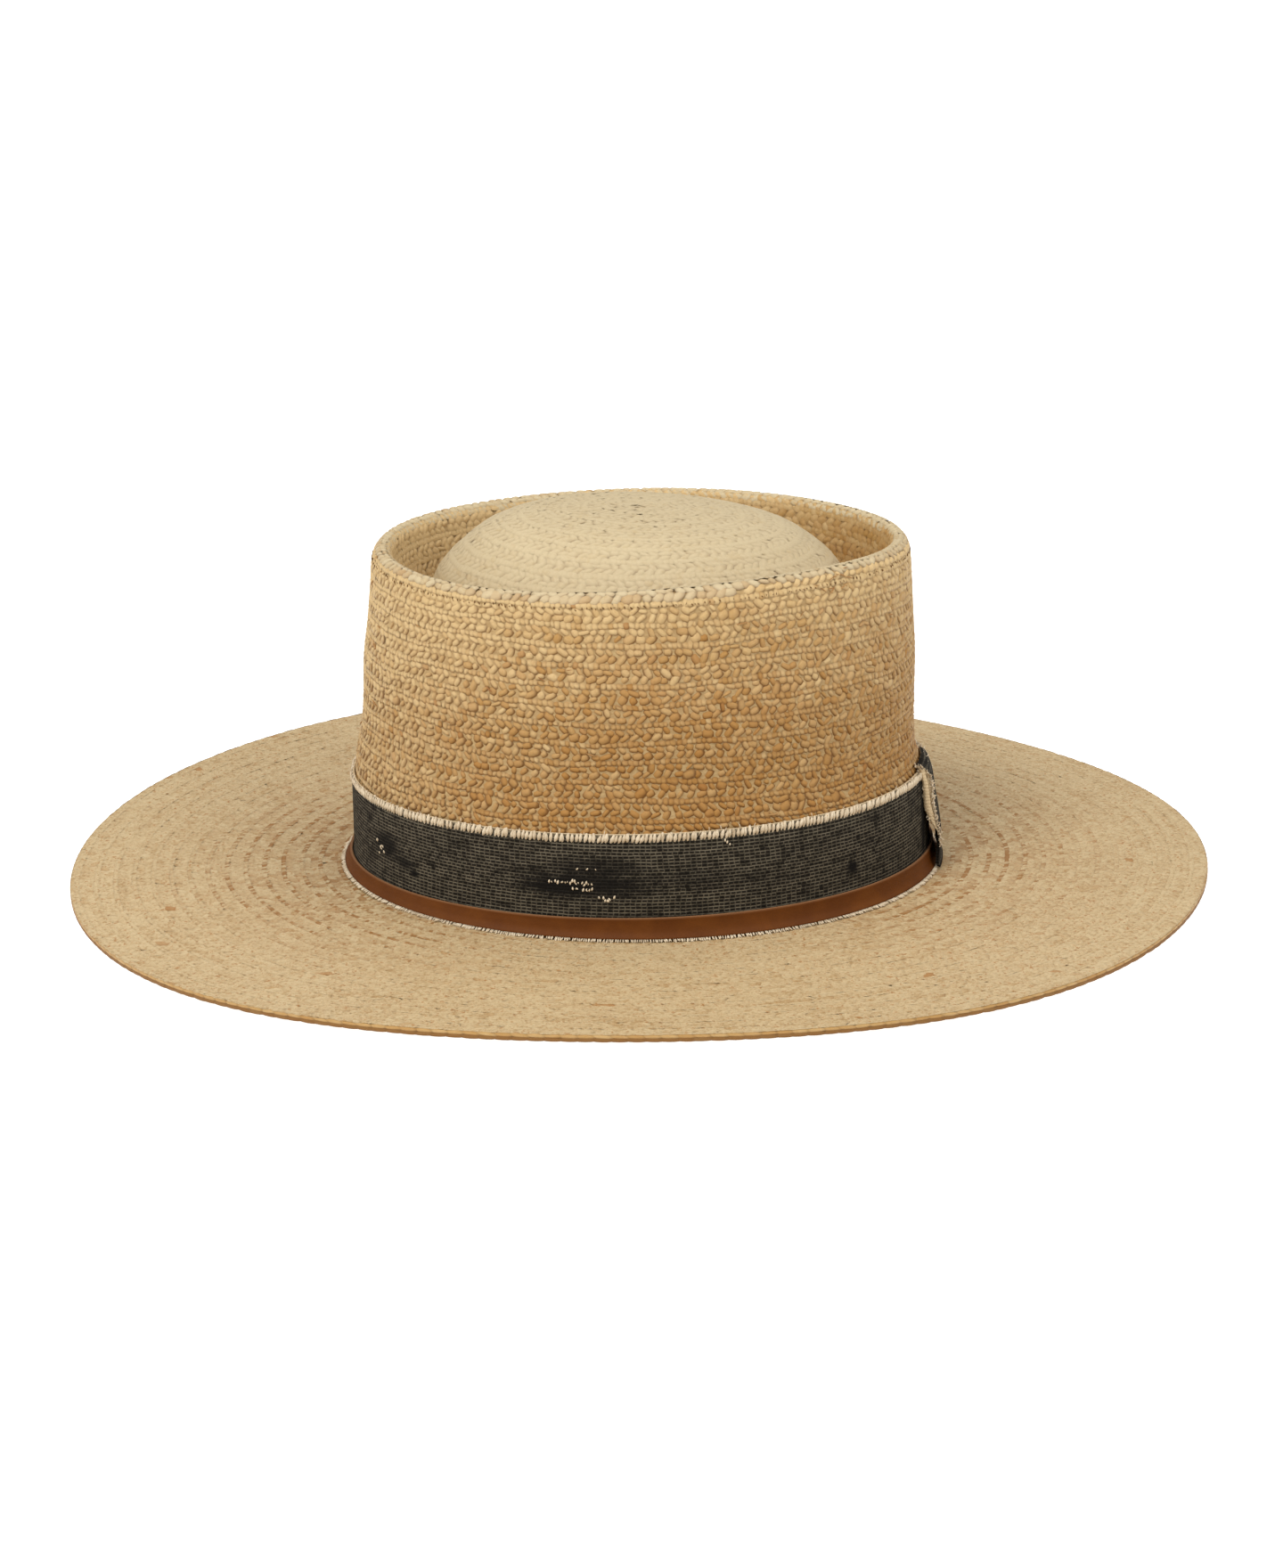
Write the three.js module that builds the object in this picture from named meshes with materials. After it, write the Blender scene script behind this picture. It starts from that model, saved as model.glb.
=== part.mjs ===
// A porkpie hat of sewn straw plait, with a frayed ribbon, a leather strip and a ribbon keeper at the back.
// Millimetres. The hat's length runs along Y with its front at -Y, and Z is up.
// Heights in the tables are measured from the upper face of the brim where it meets the crown.

import * as THREE from "three";

// Crown
const CROWN_HEIGHT = 111.5;
const CROWN_LENGTH = 193.2;
const CROWN_WIDTH = 166.4;
const RIM_LENGTH = 173.8;
const RIM_WIDTH = 145.0;
const STRAW_THICKNESS = 2.0;

// Sunken groove round the raised tip
const GROOVE_DEPTH = 25.5;
const GROOVE_LENGTH = 150.0;
const GROOVE_WIDTH = 121.6;

// Raised tip, a little nearer the front than the groove round it and lower at the back of its top
const TIP_HEIGHT = 36.4;
const TIP_SHIFT = 1.2;
const TIP_FALL = 3.9;
const TIP_FALL_POWER = 5;

// Brim
const BRIM_LENGTH = 390.0;
const BRIM_WIDTH = 363.0;
const BRIM_CURVE = 1.6;
const BRIM_EDGE_RISE = 1.2;

// Ribbon
const RIBBON_HEIGHT = 32.6;
const RIBBON_FOOT = 0.9;
const RIBBON_THICKNESS = 1.0;
const RIBBON_CLEARANCE = 0.4;
const RIBBON_EDGE = 1.0;

// Leather strip, laid over the foot of the ribbon
const LEATHER_TOP = 5.4;
const LEATHER_FOOT = 0.8;
const LEATHER_THICKNESS = 1.0;
const LEATHER_CLEARANCE = 0.3;
const LEATHER_ROWS = [0, 0.35, 0.8, 1];

// Keeper, a loop of the same ribbon over the join at the back. Its middle is at an angle in degrees from +X.
const KEEPER_WIDTH = 24.0;
const KEEPER_MIDDLE = 81.2;
const KEEPER_THICKNESS = 1.0;
const KEEPER_TOP = 36.4;
const KEEPER_SLANT = 3.2;
const KEEPER_FOOT = 1.4;
const KEEPER_EASE = 2;

// Steps round the crown and across the keeper. The inside takes every second row, and all rows at the brim's edge.
const STEPS = 60;
const KEEPER_STEPS = 8;
const INSIDE_ROW_STEP = 2;
const INSIDE_EDGE_ROWS = 2;

// Outer face of the wall. up: share of the crown's height. taper: share of the way from the crown's oval to the rim's.
// bulge: how far the wall leans to the front, in shares of the straw's thickness.
const WALL = [
  { up: 0, taper: -0.371, bulge: 0 },
  { up: 0.0072, taper: -0.237, bulge: 0 },
  { up: 0.0224, taper: -0.103, bulge: 0 },
  { up: 0.049, taper: -0.041, bulge: 0 },
  { up: 0.18, taper: -0.02, bulge: 0.15 },
  { up: 0.278, taper: 0.02, bulge: 0.4 },
  { up: 0.359, taper: 0.19, bulge: 0.9 },
  { up: 0.437, taper: 0.318, bulge: 0.63 },
  { up: 0.538, taper: 0.367, bulge: 0.42 },
  { up: 0.655, taper: 0.39, bulge: 0.3 },
  { up: 0.771, taper: 0.515, bulge: 0.1 },
  { up: 0.893, taper: 0.62, bulge: 0 },
  { up: 0.948, taper: 0.67, bulge: 0 },
  { up: 0.976, taper: 0.742, bulge: 0 },
  { up: 0.991, taper: 0.856, bulge: 0 },
];

// From the rim's crest to the groove. down: share of the groove's depth. inward: share of the way to the groove's oval.
const GROOVE = [
  { down: 0.0, inward: 0.0 },
  { down: 0.02, inward: 0.15 },
  { down: 0.085, inward: 0.265 },
  { down: 0.23, inward: 0.345 },
  { down: 0.51, inward: 0.49 },
  { down: 0.8, inward: 0.655 },
  { down: 0.92, inward: 0.77 },
  { down: 0.985, inward: 0.9 },
];

// From the groove to the middle of the tip. size: share of the groove's oval. rise: share of the tip's height.
const TIP = [
  { size: 1.0, rise: 0.0 },
  { size: 0.981, rise: 0.017 },
  { size: 0.965, rise: 0.083 },
  { size: 0.93, rise: 0.285 },
  { size: 0.9, rise: 0.417 },
  { size: 0.85, rise: 0.545 },
  { size: 0.792, rise: 0.65 },
  { size: 0.705, rise: 0.78 },
  { size: 0.575, rise: 0.887 },
  { size: 0.38, rise: 0.962 },
  { size: 0.17, rise: 0.996 },
];

// Brim, from its edge to the crown: shares of the way from the crown to the edge.
const BRIM_SHARES = [1.0, 0.93, 0.8, 0.62, 0.44, 0.26, 0.1, 0.03];

// Gentle unevenness of a hand-shaped hat. turns: waves in one turn. across and along: height of the wave's two parts.
const EDGE_HEIGHT_WAVES = [
  { turns: 1, across: 0.28, along: 0.32 },
  { turns: 2, across: 2.69, along: 1.18 },
  { turns: 3, across: 0.64, along: -1.34 },
  { turns: 4, across: 0.68, along: -0.28 },
];
const EDGE_REACH_WAVES = [
  { turns: 1, across: -0.21, along: -0.55 },
  { turns: 2, across: 1.08, along: -1.14 },
  { turns: 3, across: 0.49, along: 0.1 },
];
const RIM_HEIGHT_WAVES = [
  { turns: 1, across: 1.18, along: 1.3 },
  { turns: 2, across: 0.19, along: 0.9 },
  { turns: 3, across: 0.0, along: 0.5 },
];
const RIBBON_HEIGHT_WAVES = [{ turns: 1, across: 1.77, along: 0.88 }];

// How much of the rim's unevenness reaches the groove, and how fast it fades down the wall.
const TIP_FOLLOW = 0.1;
const WALL_FOLLOW_POWER = 4;

// Keeper, from its foot over the ribbon's top to the wall. up: share of the way from foot to top.
// held and loose: distance of its inner face from the crown's wall at the far edge and at the lifted near edge.
const KEEPER = [
  { up: 0.0, held: 3.4, loose: 4.2 },
  { up: 0.11, held: 4.0, loose: 5.1 },
  { up: 0.33, held: 4.0, loose: 6.0 },
  { up: 0.46, held: 3.6, loose: 4.8 },
  { up: 0.62, held: 2.9, loose: 3.9 },
  { up: 0.8, held: 2.3, loose: 3.9 },
  { up: 0.92, held: 2.0, loose: 3.8 },
  { up: 0.97, held: 1.7, loose: 2.8 },
  { up: 0.99, held: 1.2, loose: 1.4 },
  { up: 0.985, held: 0.45, loose: 0.45 },
];

/** Height of a sum of waves at an angle. */
function wave(rows, angle) {
  return rows.reduce((sum, row) => sum + row.across * Math.cos(row.turns * angle) + row.along * Math.sin(row.turns * angle), 0);
}

/** Value part of the way from one to another. */
function between(from, to, share) {
  return from + (to - from) * share;
}

/** A row of the outer profile: half length, half width, height, and how it follows the waves. */
function ringRow(length, width, height, { bulge = 0, fall = 0, rim = 0, edge = 0 } = {}) {
  return { length: length / 2, width: width / 2, height, bulge, fall, rim, edge };
}

/** Rows of the outer face from the middle of the tip to the brim's edge. */
function outerRows() {
  const grooveHeight = CROWN_HEIGHT - GROOVE_DEPTH;
  const tip = TIP.map((row) =>
    ringRow(GROOVE_LENGTH * row.size, GROOVE_WIDTH * row.size, grooveHeight + TIP_HEIGHT * row.rise, {
      bulge: TIP_SHIFT * Math.sqrt(row.rise),
      fall: TIP_FALL * row.size * row.rise ** TIP_FALL_POWER,
      rim: TIP_FOLLOW * row.size,
    }),
  );
  const groove = GROOVE.map((row) =>
    ringRow(
      between(RIM_LENGTH, GROOVE_LENGTH, row.inward),
      between(RIM_WIDTH, GROOVE_WIDTH, row.inward),
      CROWN_HEIGHT - GROOVE_DEPTH * row.down,
      { rim: between(1, TIP_FOLLOW, row.down) },
    ),
  );
  const wall = WALL.map((row) =>
    ringRow(between(CROWN_LENGTH, RIM_LENGTH, row.taper), between(CROWN_WIDTH, RIM_WIDTH, row.taper), CROWN_HEIGHT * row.up, {
      bulge: row.bulge * STRAW_THICKNESS,
      rim: row.up ** WALL_FOLLOW_POWER,
    }),
  );
  const foot = wall[0];
  const brim = BRIM_SHARES.map((share) =>
    ringRow(between(2 * foot.length, BRIM_LENGTH, share), between(2 * foot.width, BRIM_WIDTH, share), 0, { edge: share }),
  );
  return [...tip.reverse(), ...groove.reverse(), ...wall.reverse(), ...brim.reverse()];
}

/** The same rows moved inwards by a distance along the profile's own normal. */
function innerRows(rows, distance) {
  return rows.map((row, index) => {
    const before = rows[Math.max(index - 1, 0)];
    const after = rows[Math.min(index + 1, rows.length - 1)];
    const run = after.length - before.length;
    const fall = after.height - before.height;
    const size = Math.hypot(run, fall);
    const outward = (-fall / size) * distance;
    return { ...row, length: row.length - outward, width: row.width - outward, height: row.height - (run / size) * distance };
  });
}

/** The point of a row at an angle. Angle 0 is +X. */
function ringPoint(row, angle) {
  const reach = wave(EDGE_REACH_WAVES, angle) * row.edge;
  const brimLift = (BRIM_EDGE_RISE + wave(EDGE_HEIGHT_WAVES, angle)) * row.edge ** BRIM_CURVE;
  const lift = brimLift + wave(RIM_HEIGHT_WAVES, angle) * row.rim - row.fall * Math.sin(angle);
  return [
    (row.width + reach) * Math.cos(angle),
    (row.length + reach) * Math.sin(angle) - row.bulge,
    row.height + lift,
  ];
}

/** Outer half length, half width and bulge of the wall at a height below the rim. */
function wallAt(height) {
  const share = height / CROWN_HEIGHT;
  const above = WALL.findIndex((row) => row.up >= share);
  const low = WALL[Math.max(above - 1, 0)];
  const high = WALL[Math.max(above, 1)];
  const part = (share - low.up) / (high.up - low.up);
  const taper = between(low.taper, high.taper, part);
  return {
    length: between(CROWN_LENGTH, RIM_LENGTH, taper) / 2,
    width: between(CROWN_WIDTH, RIM_WIDTH, taper) / 2,
    bulge: between(low.bulge, high.bulge, part) * STRAW_THICKNESS,
  };
}

/** A point at a height and a distance outside the crown's wall. */
function besideWall(height, outside, angle) {
  const wall = wallAt(height);
  return [
    (wall.width + outside) * Math.cos(angle),
    (wall.length + outside) * Math.sin(angle) - wall.bulge,
    height,
  ];
}

/** Angles of whole steps round the crown. */
function roundAngles() {
  return Array.from({ length: STEPS }, (_, step) => (2 * Math.PI * step) / STEPS);
}

/** A closed surface through rings of points. A ring of one point closes an end. */
function throughRings(rings) {
  const points = rings.flat();
  const faces = [];
  let first = 0;
  for (let index = 0; index + 1 < rings.length; index += 1) {
    const here = rings[index].length;
    const next = rings[index + 1].length;
    const steps = Math.max(here, next);
    for (let step = 0; step < steps; step += 1) {
      const a = first + (step % here);
      const b = first + ((step + 1) % here);
      const c = first + here + ((step + 1) % next);
      const d = first + here + (step % next);
      if (here > 1) faces.push([a, d, b]);
      if (next > 1) faces.push([here > 1 ? b : a, d, c]);
    }
    first += here;
  }
  return surface(points, faces);
}

/** A closed strip through sections of outer and inner points, joined end to end or capped. */
function throughSections(sections, joined) {
  const size = sections[0].length;
  const half = size / 2;
  const points = sections.flat();
  const faces = [];
  const spans = joined ? sections.length : sections.length - 1;
  for (let span = 0; span < spans; span += 1) {
    const here = span * size;
    const next = ((span + 1) % sections.length) * size;
    for (let index = 0; index < size; index += 1) {
      const after = (index + 1) % size;
      faces.push([here + index, next + index, here + after], [here + after, next + index, next + after]);
    }
  }
  if (!joined) {
    const last = (sections.length - 1) * size;
    for (let index = 0; index + 1 < half; index += 1) {
      const inner = size - 1 - index;
      faces.push([index, index + 1, inner], [index + 1, inner - 1, inner]);
      faces.push([last + index, last + inner, last + index + 1], [last + index + 1, last + inner, last + inner - 1]);
    }
  }
  return surface(points, faces);
}

/** Geometry from points and triangles, turned so that it faces out. */
function surface(points, faces) {
  const volume = faces.reduce((sum, [a, b, c]) => {
    const [p, q, r] = [a, b, c].map((index) => new THREE.Vector3(...points[index]));
    return sum + p.dot(q.cross(r));
  }, 0);
  const turned = volume < 0 ? faces.map(([a, b, c]) => [a, c, b]) : faces;
  const geometry = new THREE.BufferGeometry();
  geometry.setAttribute("position", new THREE.Float32BufferAttribute(points.flat(), 3));
  geometry.setIndex(turned.flat());
  geometry.computeVertexNormals();
  return geometry;
}

/** The straw: one shell from the tip to the brim's edge and back along its inside. */
function strawBody() {
  const outer = outerRows();
  const inner = innerRows(outer, STRAW_THICKNESS).filter(
    (_, index) => index % INSIDE_ROW_STEP === 0 || index >= outer.length - INSIDE_EDGE_ROWS,
  );
  const rings = [...outer, ...inner.reverse()].map((row) => roundAngles().map((angle) => ringPoint(row, angle)));
  const top = CROWN_HEIGHT - GROOVE_DEPTH + TIP_HEIGHT;
  return throughRings([[[0, -TIP_SHIFT, top]], ...rings, [[0, -TIP_SHIFT, top - STRAW_THICKNESS]]]);
}

/** A strip laid round the crown between two heights, which may change with the angle. */
function bandRound(heights, outside, thickness) {
  const sections = roundAngles().map((angle) => {
    const levels = heights(angle);
    const outer = levels.map((height) => besideWall(height, outside + thickness, angle));
    const inner = levels.map((height) => besideWall(height, outside, angle));
    return [...outer, ...inner.reverse()];
  });
  return throughSections(sections, true);
}

/** Heights of the ribbon's rows at an angle, from its foot to its frayed top edge. */
function ribbonHeights(angle) {
  const rows = WALL.filter((row) => row.up > RIBBON_FOOT / CROWN_HEIGHT && row.up * CROWN_HEIGHT < RIBBON_HEIGHT - RIBBON_EDGE);
  const top = RIBBON_FOOT + RIBBON_HEIGHT + wave(RIBBON_HEIGHT_WAVES, angle);
  return [RIBBON_FOOT, ...rows.map((row) => row.up * CROWN_HEIGHT), top];
}

/** Heights of the leather's rows at an angle. It follows the ribbon's slant on the side nearer +X. */
function leatherHeights(angle) {
  const slant = RIBBON_HEIGHT_WAVES[0];
  const top = LEATHER_TOP + slant.across * Math.max(Math.cos(angle), 0) + slant.along * Math.sin(angle);
  return LEATHER_ROWS.map((share) => between(LEATHER_FOOT, top, share));
}

/** The keeper: a strap standing over the ribbon at the back, turned in over the ribbon's top edge. */
function keeper() {
  const half = Math.asin(KEEPER_WIDTH / CROWN_WIDTH);
  const middle = THREE.MathUtils.degToRad(KEEPER_MIDDLE);
  const sections = Array.from({ length: KEEPER_STEPS + 1 }, (_, step) => {
    const share = step / KEEPER_STEPS;
    const angle = middle - half + 2 * half * share;
    const looseness = (1 - share) ** KEEPER_EASE;
    const top = KEEPER_TOP + KEEPER_SLANT * Math.cos(angle) - KEEPER_THICKNESS;
    const face = KEEPER.map((row) => ({
      outside: between(row.held, row.loose, looseness),
      height: between(KEEPER_FOOT, top, row.up),
    }));
    const inner = face.map((row) => besideWall(row.height, row.outside, angle));
    const outer = face.map((row, index) => {
      const before = face[Math.max(index - 1, 0)];
      const after = face[Math.min(index + 1, face.length - 1)];
      const run = after.outside - before.outside;
      const rise = after.height - before.height;
      const size = Math.hypot(run, rise);
      return besideWall(
        row.height - (run / size) * KEEPER_THICKNESS,
        row.outside + (rise / size) * KEEPER_THICKNESS,
        angle,
      );
    });
    return [...outer, ...inner.reverse()];
  });
  return throughSections(sections, false);
}

/** A named mesh with a plain material. */
function named(name, geometry, color, roughness) {
  const mesh = new THREE.Mesh(geometry, new THREE.MeshStandardMaterial({ color, roughness, metalness: 0 }));
  mesh.name = name;
  return mesh;
}

const ribbonOutside = RIBBON_CLEARANCE;
const leatherOutside = RIBBON_CLEARANCE + RIBBON_THICKNESS + LEATHER_CLEARANCE;

const pieces = [
  named("straw_body", strawBody(), 0xd2b583, 0.75),
  named("hatband", bandRound(ribbonHeights, ribbonOutside, RIBBON_THICKNESS), 0x3a3834, 0.9),
  named("leather_trim", bandRound(leatherHeights, leatherOutside, LEATHER_THICKNESS), 0x7a4523, 0.5),
  named("band_keeper", keeper(), 0x3f3c38, 0.9),
];

// The hat rests on the lowest parts of its brim, centred over the frame's origin.
const extent = new THREE.Box3().setFromBufferAttribute(pieces[0].geometry.getAttribute("position"));
const middle = extent.getCenter(new THREE.Vector3());
const hat = new THREE.Group();
for (const piece of pieces) {
  piece.geometry.translate(-middle.x, -middle.y, -extent.min.z);
  hat.add(piece);
}

export default hat;
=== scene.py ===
"""Looks of a porkpie hat: sewn straw plait, a frayed woven ribbon, a leather strip and a ribbon keeper.

Lengths inside the classes are millimetres, as on the maker's bench, and become metres when a mesh is made.
"""

import logging
import math
from dataclasses import dataclass, field
from enum import Enum
from typing import Any, Callable, ClassVar, Mapping, Optional, Sequence, Union

import bpy
import numpy as np
from mathutils import Matrix, Vector


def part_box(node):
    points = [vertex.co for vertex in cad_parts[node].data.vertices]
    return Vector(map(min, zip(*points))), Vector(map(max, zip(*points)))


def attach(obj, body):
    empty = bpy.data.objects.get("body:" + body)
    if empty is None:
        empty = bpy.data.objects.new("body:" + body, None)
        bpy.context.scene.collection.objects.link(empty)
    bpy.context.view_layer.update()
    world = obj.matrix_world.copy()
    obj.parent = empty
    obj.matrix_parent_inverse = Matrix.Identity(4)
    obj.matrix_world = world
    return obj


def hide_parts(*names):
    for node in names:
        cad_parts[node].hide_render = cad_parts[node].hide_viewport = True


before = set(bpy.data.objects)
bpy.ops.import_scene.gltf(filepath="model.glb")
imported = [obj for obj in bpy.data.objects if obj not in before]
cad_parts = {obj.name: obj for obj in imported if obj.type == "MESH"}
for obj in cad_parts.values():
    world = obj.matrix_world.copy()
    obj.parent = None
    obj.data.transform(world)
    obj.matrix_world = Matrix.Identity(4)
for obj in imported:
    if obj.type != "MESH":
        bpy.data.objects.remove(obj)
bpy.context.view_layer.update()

MM = 0.001
TURN = 2.0 * math.pi
PHOTO_HEIGHT = 1760
BODY = "root"

log = logging.getLogger("hat")

Colour = tuple[float, float, float, float]
Array = np.ndarray


# Shader writing


class Signal:
    """A shader value that can be used in Python expressions."""

    def __init__(self, shader: "Shader", socket: bpy.types.NodeSocket) -> None:
        """Wraps one output socket of a shader."""
        self.shader = shader
        self.socket = socket

    def _with(self, operation: str, other: "Value", swapped: bool = False) -> "Signal":
        """Adds a Math node on this value and another.

        Args:
            operation: the Math node's operation.
            other: the second value.
            swapped: whether the other value comes first.

        Returns:
            The Math node's value.
        """
        first, second = (other, self) if swapped else (self, other)
        return self.shader.node("ShaderNodeMath", {"operation": operation}, {0: first, 1: second})

    def __add__(self, other: "Value") -> "Signal":
        """Sum."""
        return self._with("ADD", other)

    def __radd__(self, other: "Value") -> "Signal":
        """Sum with a number first."""
        return self._with("ADD", other, True)

    def __sub__(self, other: "Value") -> "Signal":
        """Difference."""
        return self._with("SUBTRACT", other)

    def __rsub__(self, other: "Value") -> "Signal":
        """Difference with a number first."""
        return self._with("SUBTRACT", other, True)

    def __mul__(self, other: "Value") -> "Signal":
        """Product."""
        return self._with("MULTIPLY", other)

    def __rmul__(self, other: "Value") -> "Signal":
        """Product with a number first."""
        return self._with("MULTIPLY", other, True)

    def __truediv__(self, other: "Value") -> "Signal":
        """Quotient."""
        return self._with("DIVIDE", other)

    def __pow__(self, other: "Value") -> "Signal":
        """Power."""
        return self._with("POWER", other)

    def apply(self, operation: str, other: "Value" = 0.0) -> "Signal":
        """Any other Math operation, such as FRACT or MAXIMUM."""
        return self._with(operation, other)

    def ramp(self, low: float, high: float) -> "Signal":
        """Smooth step from 0 at low to 1 at high.

        Args:
            low: value that gives 0.
            high: value that gives 1.

        Returns:
            The stepped value.
        """
        settings = {"interpolation_type": "SMOOTHSTEP"}
        inputs = {"Value": self, "From Min": low, "From Max": high, "To Min": 0.0, "To Max": 1.0}
        return self.shader.node("ShaderNodeMapRange", settings, inputs)


Value = Union[Signal, float, int, Sequence[float]]


class Shader:
    """One material's node tree, written from Python."""

    def __init__(self, name: str) -> None:
        """Starts an empty material of this name."""
        self.material = bpy.data.materials.new(name)
        self.material.use_nodes = True
        self.tree = self.material.node_tree
        self.tree.nodes.clear()

    def node(
        self,
        kind: str,
        settings: Optional[Mapping[str, Any]] = None,
        inputs: Optional[Mapping[Union[str, int], Value]] = None,
        output: Union[str, int] = 0,
    ) -> Signal:
        """Adds a node.

        Args:
            kind: the node's type.
            settings: its properties, set first.
            inputs: values or links by socket name or number.
            output: the socket to return.

        Returns:
            The chosen output.
        """
        made = self.tree.nodes.new(kind)
        for key, value in (settings or {}).items():
            setattr(made, key, value)
        for key, value in (inputs or {}).items():
            if isinstance(value, Signal):
                self.tree.links.new(value.socket, made.inputs[key])
            else:
                made.inputs[key].default_value = value
        return Signal(self, made.outputs[output])

    def blend(self, factor: Value, first: Value, second: Value) -> Signal:
        """Mixes two colours.

        Args:
            factor: 0 for the first colour, 1 for the second.
            first: a colour.
            second: a colour.

        Returns:
            The mixed colour.
        """
        return self.node("ShaderNodeMix", {"data_type": "RGBA"}, {0: factor, 6: first, 7: second}, 2)

    def noise(self, vector: Value, scale: float, detail: float = 2.0, roughness: float = 0.5) -> Signal:
        """Noise from 0 to 1.

        Args:
            vector: where it is read.
            scale: cells per unit.
            detail: octaves.
            roughness: strength of the finer octaves.

        Returns:
            The noise value.
        """
        inputs = {"Vector": vector, "Scale": scale, "Detail": detail, "Roughness": roughness}
        return self.node("ShaderNodeTexNoise", {"noise_dimensions": "3D"}, inputs)

    def stretched(self, vector: Value, scale: tuple[float, float, float]) -> Signal:
        """Scales a vector along its axes."""
        return self.node("ShaderNodeVectorMath", {"operation": "MULTIPLY"}, {0: vector, 1: scale})

    def parts(self, vector: Value) -> tuple[Signal, Signal, Signal]:
        """The three parts of a vector."""
        first = self.node("ShaderNodeSeparateXYZ", None, {0: vector}, 0)
        made = first.socket.node
        return first, Signal(self, made.outputs[1]), Signal(self, made.outputs[2])

    def channels(self, attribute: str) -> tuple[Signal, Signal, Signal, Signal]:
        """Red, green, blue and alpha of a colour attribute.

        Args:
            attribute: the attribute's name.

        Returns:
            Its four channels.
        """
        read = self.node("ShaderNodeAttribute", {"attribute_name": attribute}, None, "Color")
        alpha = Signal(self, read.socket.node.outputs["Alpha"])
        red = self.node("ShaderNodeSeparateColor", None, {0: read}, 0)
        made = red.socket.node
        return red, Signal(self, made.outputs[1]), Signal(self, made.outputs[2]), alpha

    def uv(self, name: str) -> Signal:
        """The piece's own UV map."""
        return self.node("ShaderNodeUVMap", {"uv_map": name})

    def place(self) -> Signal:
        """Object coordinates, in metres."""
        return self.node("ShaderNodeTexCoord", None, None, "Object")

    def bump(self, height: Signal, distance: float, strength: float) -> Signal:
        """Normal from a height.

        Args:
            height: the height, where 1 stands for distance.
            distance: metres.
            strength: 0 to 1.

        Returns:
            The bent normal.
        """
        inputs = {"Height": height, "Distance": distance, "Strength": strength}
        return self.node("ShaderNodeBump", None, inputs)

    def finish(self, varying: Mapping[str, Value], fixed: Mapping[str, float]) -> bpy.types.Material:
        """Ends the material in one shader.

        Args:
            varying: values or links that change over the surface.
            fixed: numbers set on the shader's own sockets.

        Returns:
            The finished material.
        """
        surface = self.node("ShaderNodeBsdfPrincipled", None, {**fixed, **varying})
        output = self.tree.nodes.new("ShaderNodeOutputMaterial")
        self.tree.links.new(surface.socket, output.inputs["Surface"])
        return self.material


# Finishes


@dataclass(frozen=True)
class StrawFinish:
    """Plaited straw: pale gold strands, warmer towards the ribbon, with painted shade between the strands and
    under them.
    """

    name: str = "plaited_straw"
    pale: Colour = (0.60, 0.425, 0.205, 1.0)
    gold: Colour = (0.445, 0.26, 0.08, 1.0)
    amber: Colour = (0.375, 0.18, 0.040, 1.0)
    shade: Colour = (0.115, 0.043, 0.006, 1.0)
    fleck: Colour = (0.34, 0.145, 0.03, 1.0)
    speck: float = 0.25
    grain: float = 0.3
    strand_uv: str = "strand"
    attribute: str = "straw"

    def material(self) -> bpy.types.Material:
        """The strand material, which reads each strand's own tone."""
        shader = Shader(self.name)
        tone, crown, warmth, fleck = shader.channels(self.attribute)
        along = shader.uv(self.strand_uv)
        fibres = shader.noise(shader.stretched(along, (1.0, 9.0, 1.0)), 2.4, 3.0, 0.6)
        patches = shader.noise(shader.place(), 30.0, 3.0, 0.6)
        specks = shader.noise(shader.place(), 520.0, 2.0)
        marks = shader.noise(shader.place(), 640.0, 3.0, 0.65)
        fine = (fibres - 0.5) * 0.75 + (specks - 0.5) * 0.35 + (marks - 0.5) * self.grain
        lift = tone + (patches - 0.5) * 0.5 + fine
        colour = shader.blend(lift.ramp(0.05, 1.0), self.gold, self.pale)
        warm = warmth + (0.5 - tone) * 0.5 + (patches - 0.5) * 0.5
        colour = shader.blend(warm.ramp(0.0, 1.0), colour, self.amber)
        colour = shader.blend(fleck * 0.8, colour, self.fleck)
        colour = shader.blend(marks.ramp(0.52, 0.72) * self.speck, colour, self.fleck)
        # Painted shade: where the second channel is low, in the gaps, under each strand and at each row's
        # step, the colour goes to the shade colour.
        colour = shader.blend((1.0 - crown).ramp(0.0, 1.0) * 0.8, colour, self.shade)
        roughness = 0.66 - crown * 0.12 + (fibres - 0.5) * 0.2
        normal = shader.bump(fibres * 0.65 + specks * 0.35, 0.00034, 0.7)
        return shader.finish(
            {"Base Color": colour, "Roughness": roughness, "Normal": normal},
            {"Specular IOR Level": 0.28},
        )


class StrawKind(Enum):
    """How worn the plait is and how far the sun has paled it."""

    WALL = StrawFinish("wall_straw", grain=0.4)
    BRIM = StrawFinish(
        "brim_straw", pale=(0.57, 0.44, 0.25, 1.0), gold=(0.37, 0.225, 0.09, 1.0), speck=0.9, grain=2.6
    )
    TOP = StrawFinish(
        "top_straw", pale=(0.555, 0.45, 0.275, 1.0), gold=(0.46, 0.325, 0.155, 1.0), speck=0.12, grain=1.2
    )


@dataclass(frozen=True)
class ShellFinish:
    """The straw behind the strands, a little darker than they are: painted shade for where it shows between
    the strands.
    """

    name: str = "straw_behind_strands"
    deep: Colour = (0.36, 0.23, 0.10, 1.0)
    light: Colour = (0.48, 0.34, 0.165, 1.0)

    def material(self) -> bpy.types.Material:
        """The shell's material."""
        shader = Shader(self.name)
        place = shader.place()
        grain = shader.noise(shader.stretched(place, (1.0, 1.0, 2.5)), 420.0, 3.0, 0.6)
        patches = shader.noise(place, 60.0, 2.0)
        colour = shader.blend((grain * 0.7 + patches * 0.3).ramp(0.3, 0.75), self.deep, self.light)
        normal = shader.bump(grain, 0.0004, 0.6)
        varying = {"Base Color": colour, "Roughness": 0.75 + grain * 0.15, "Normal": normal}
        return shader.finish(varying, {"Specular IOR Level": 0.2})


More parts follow.
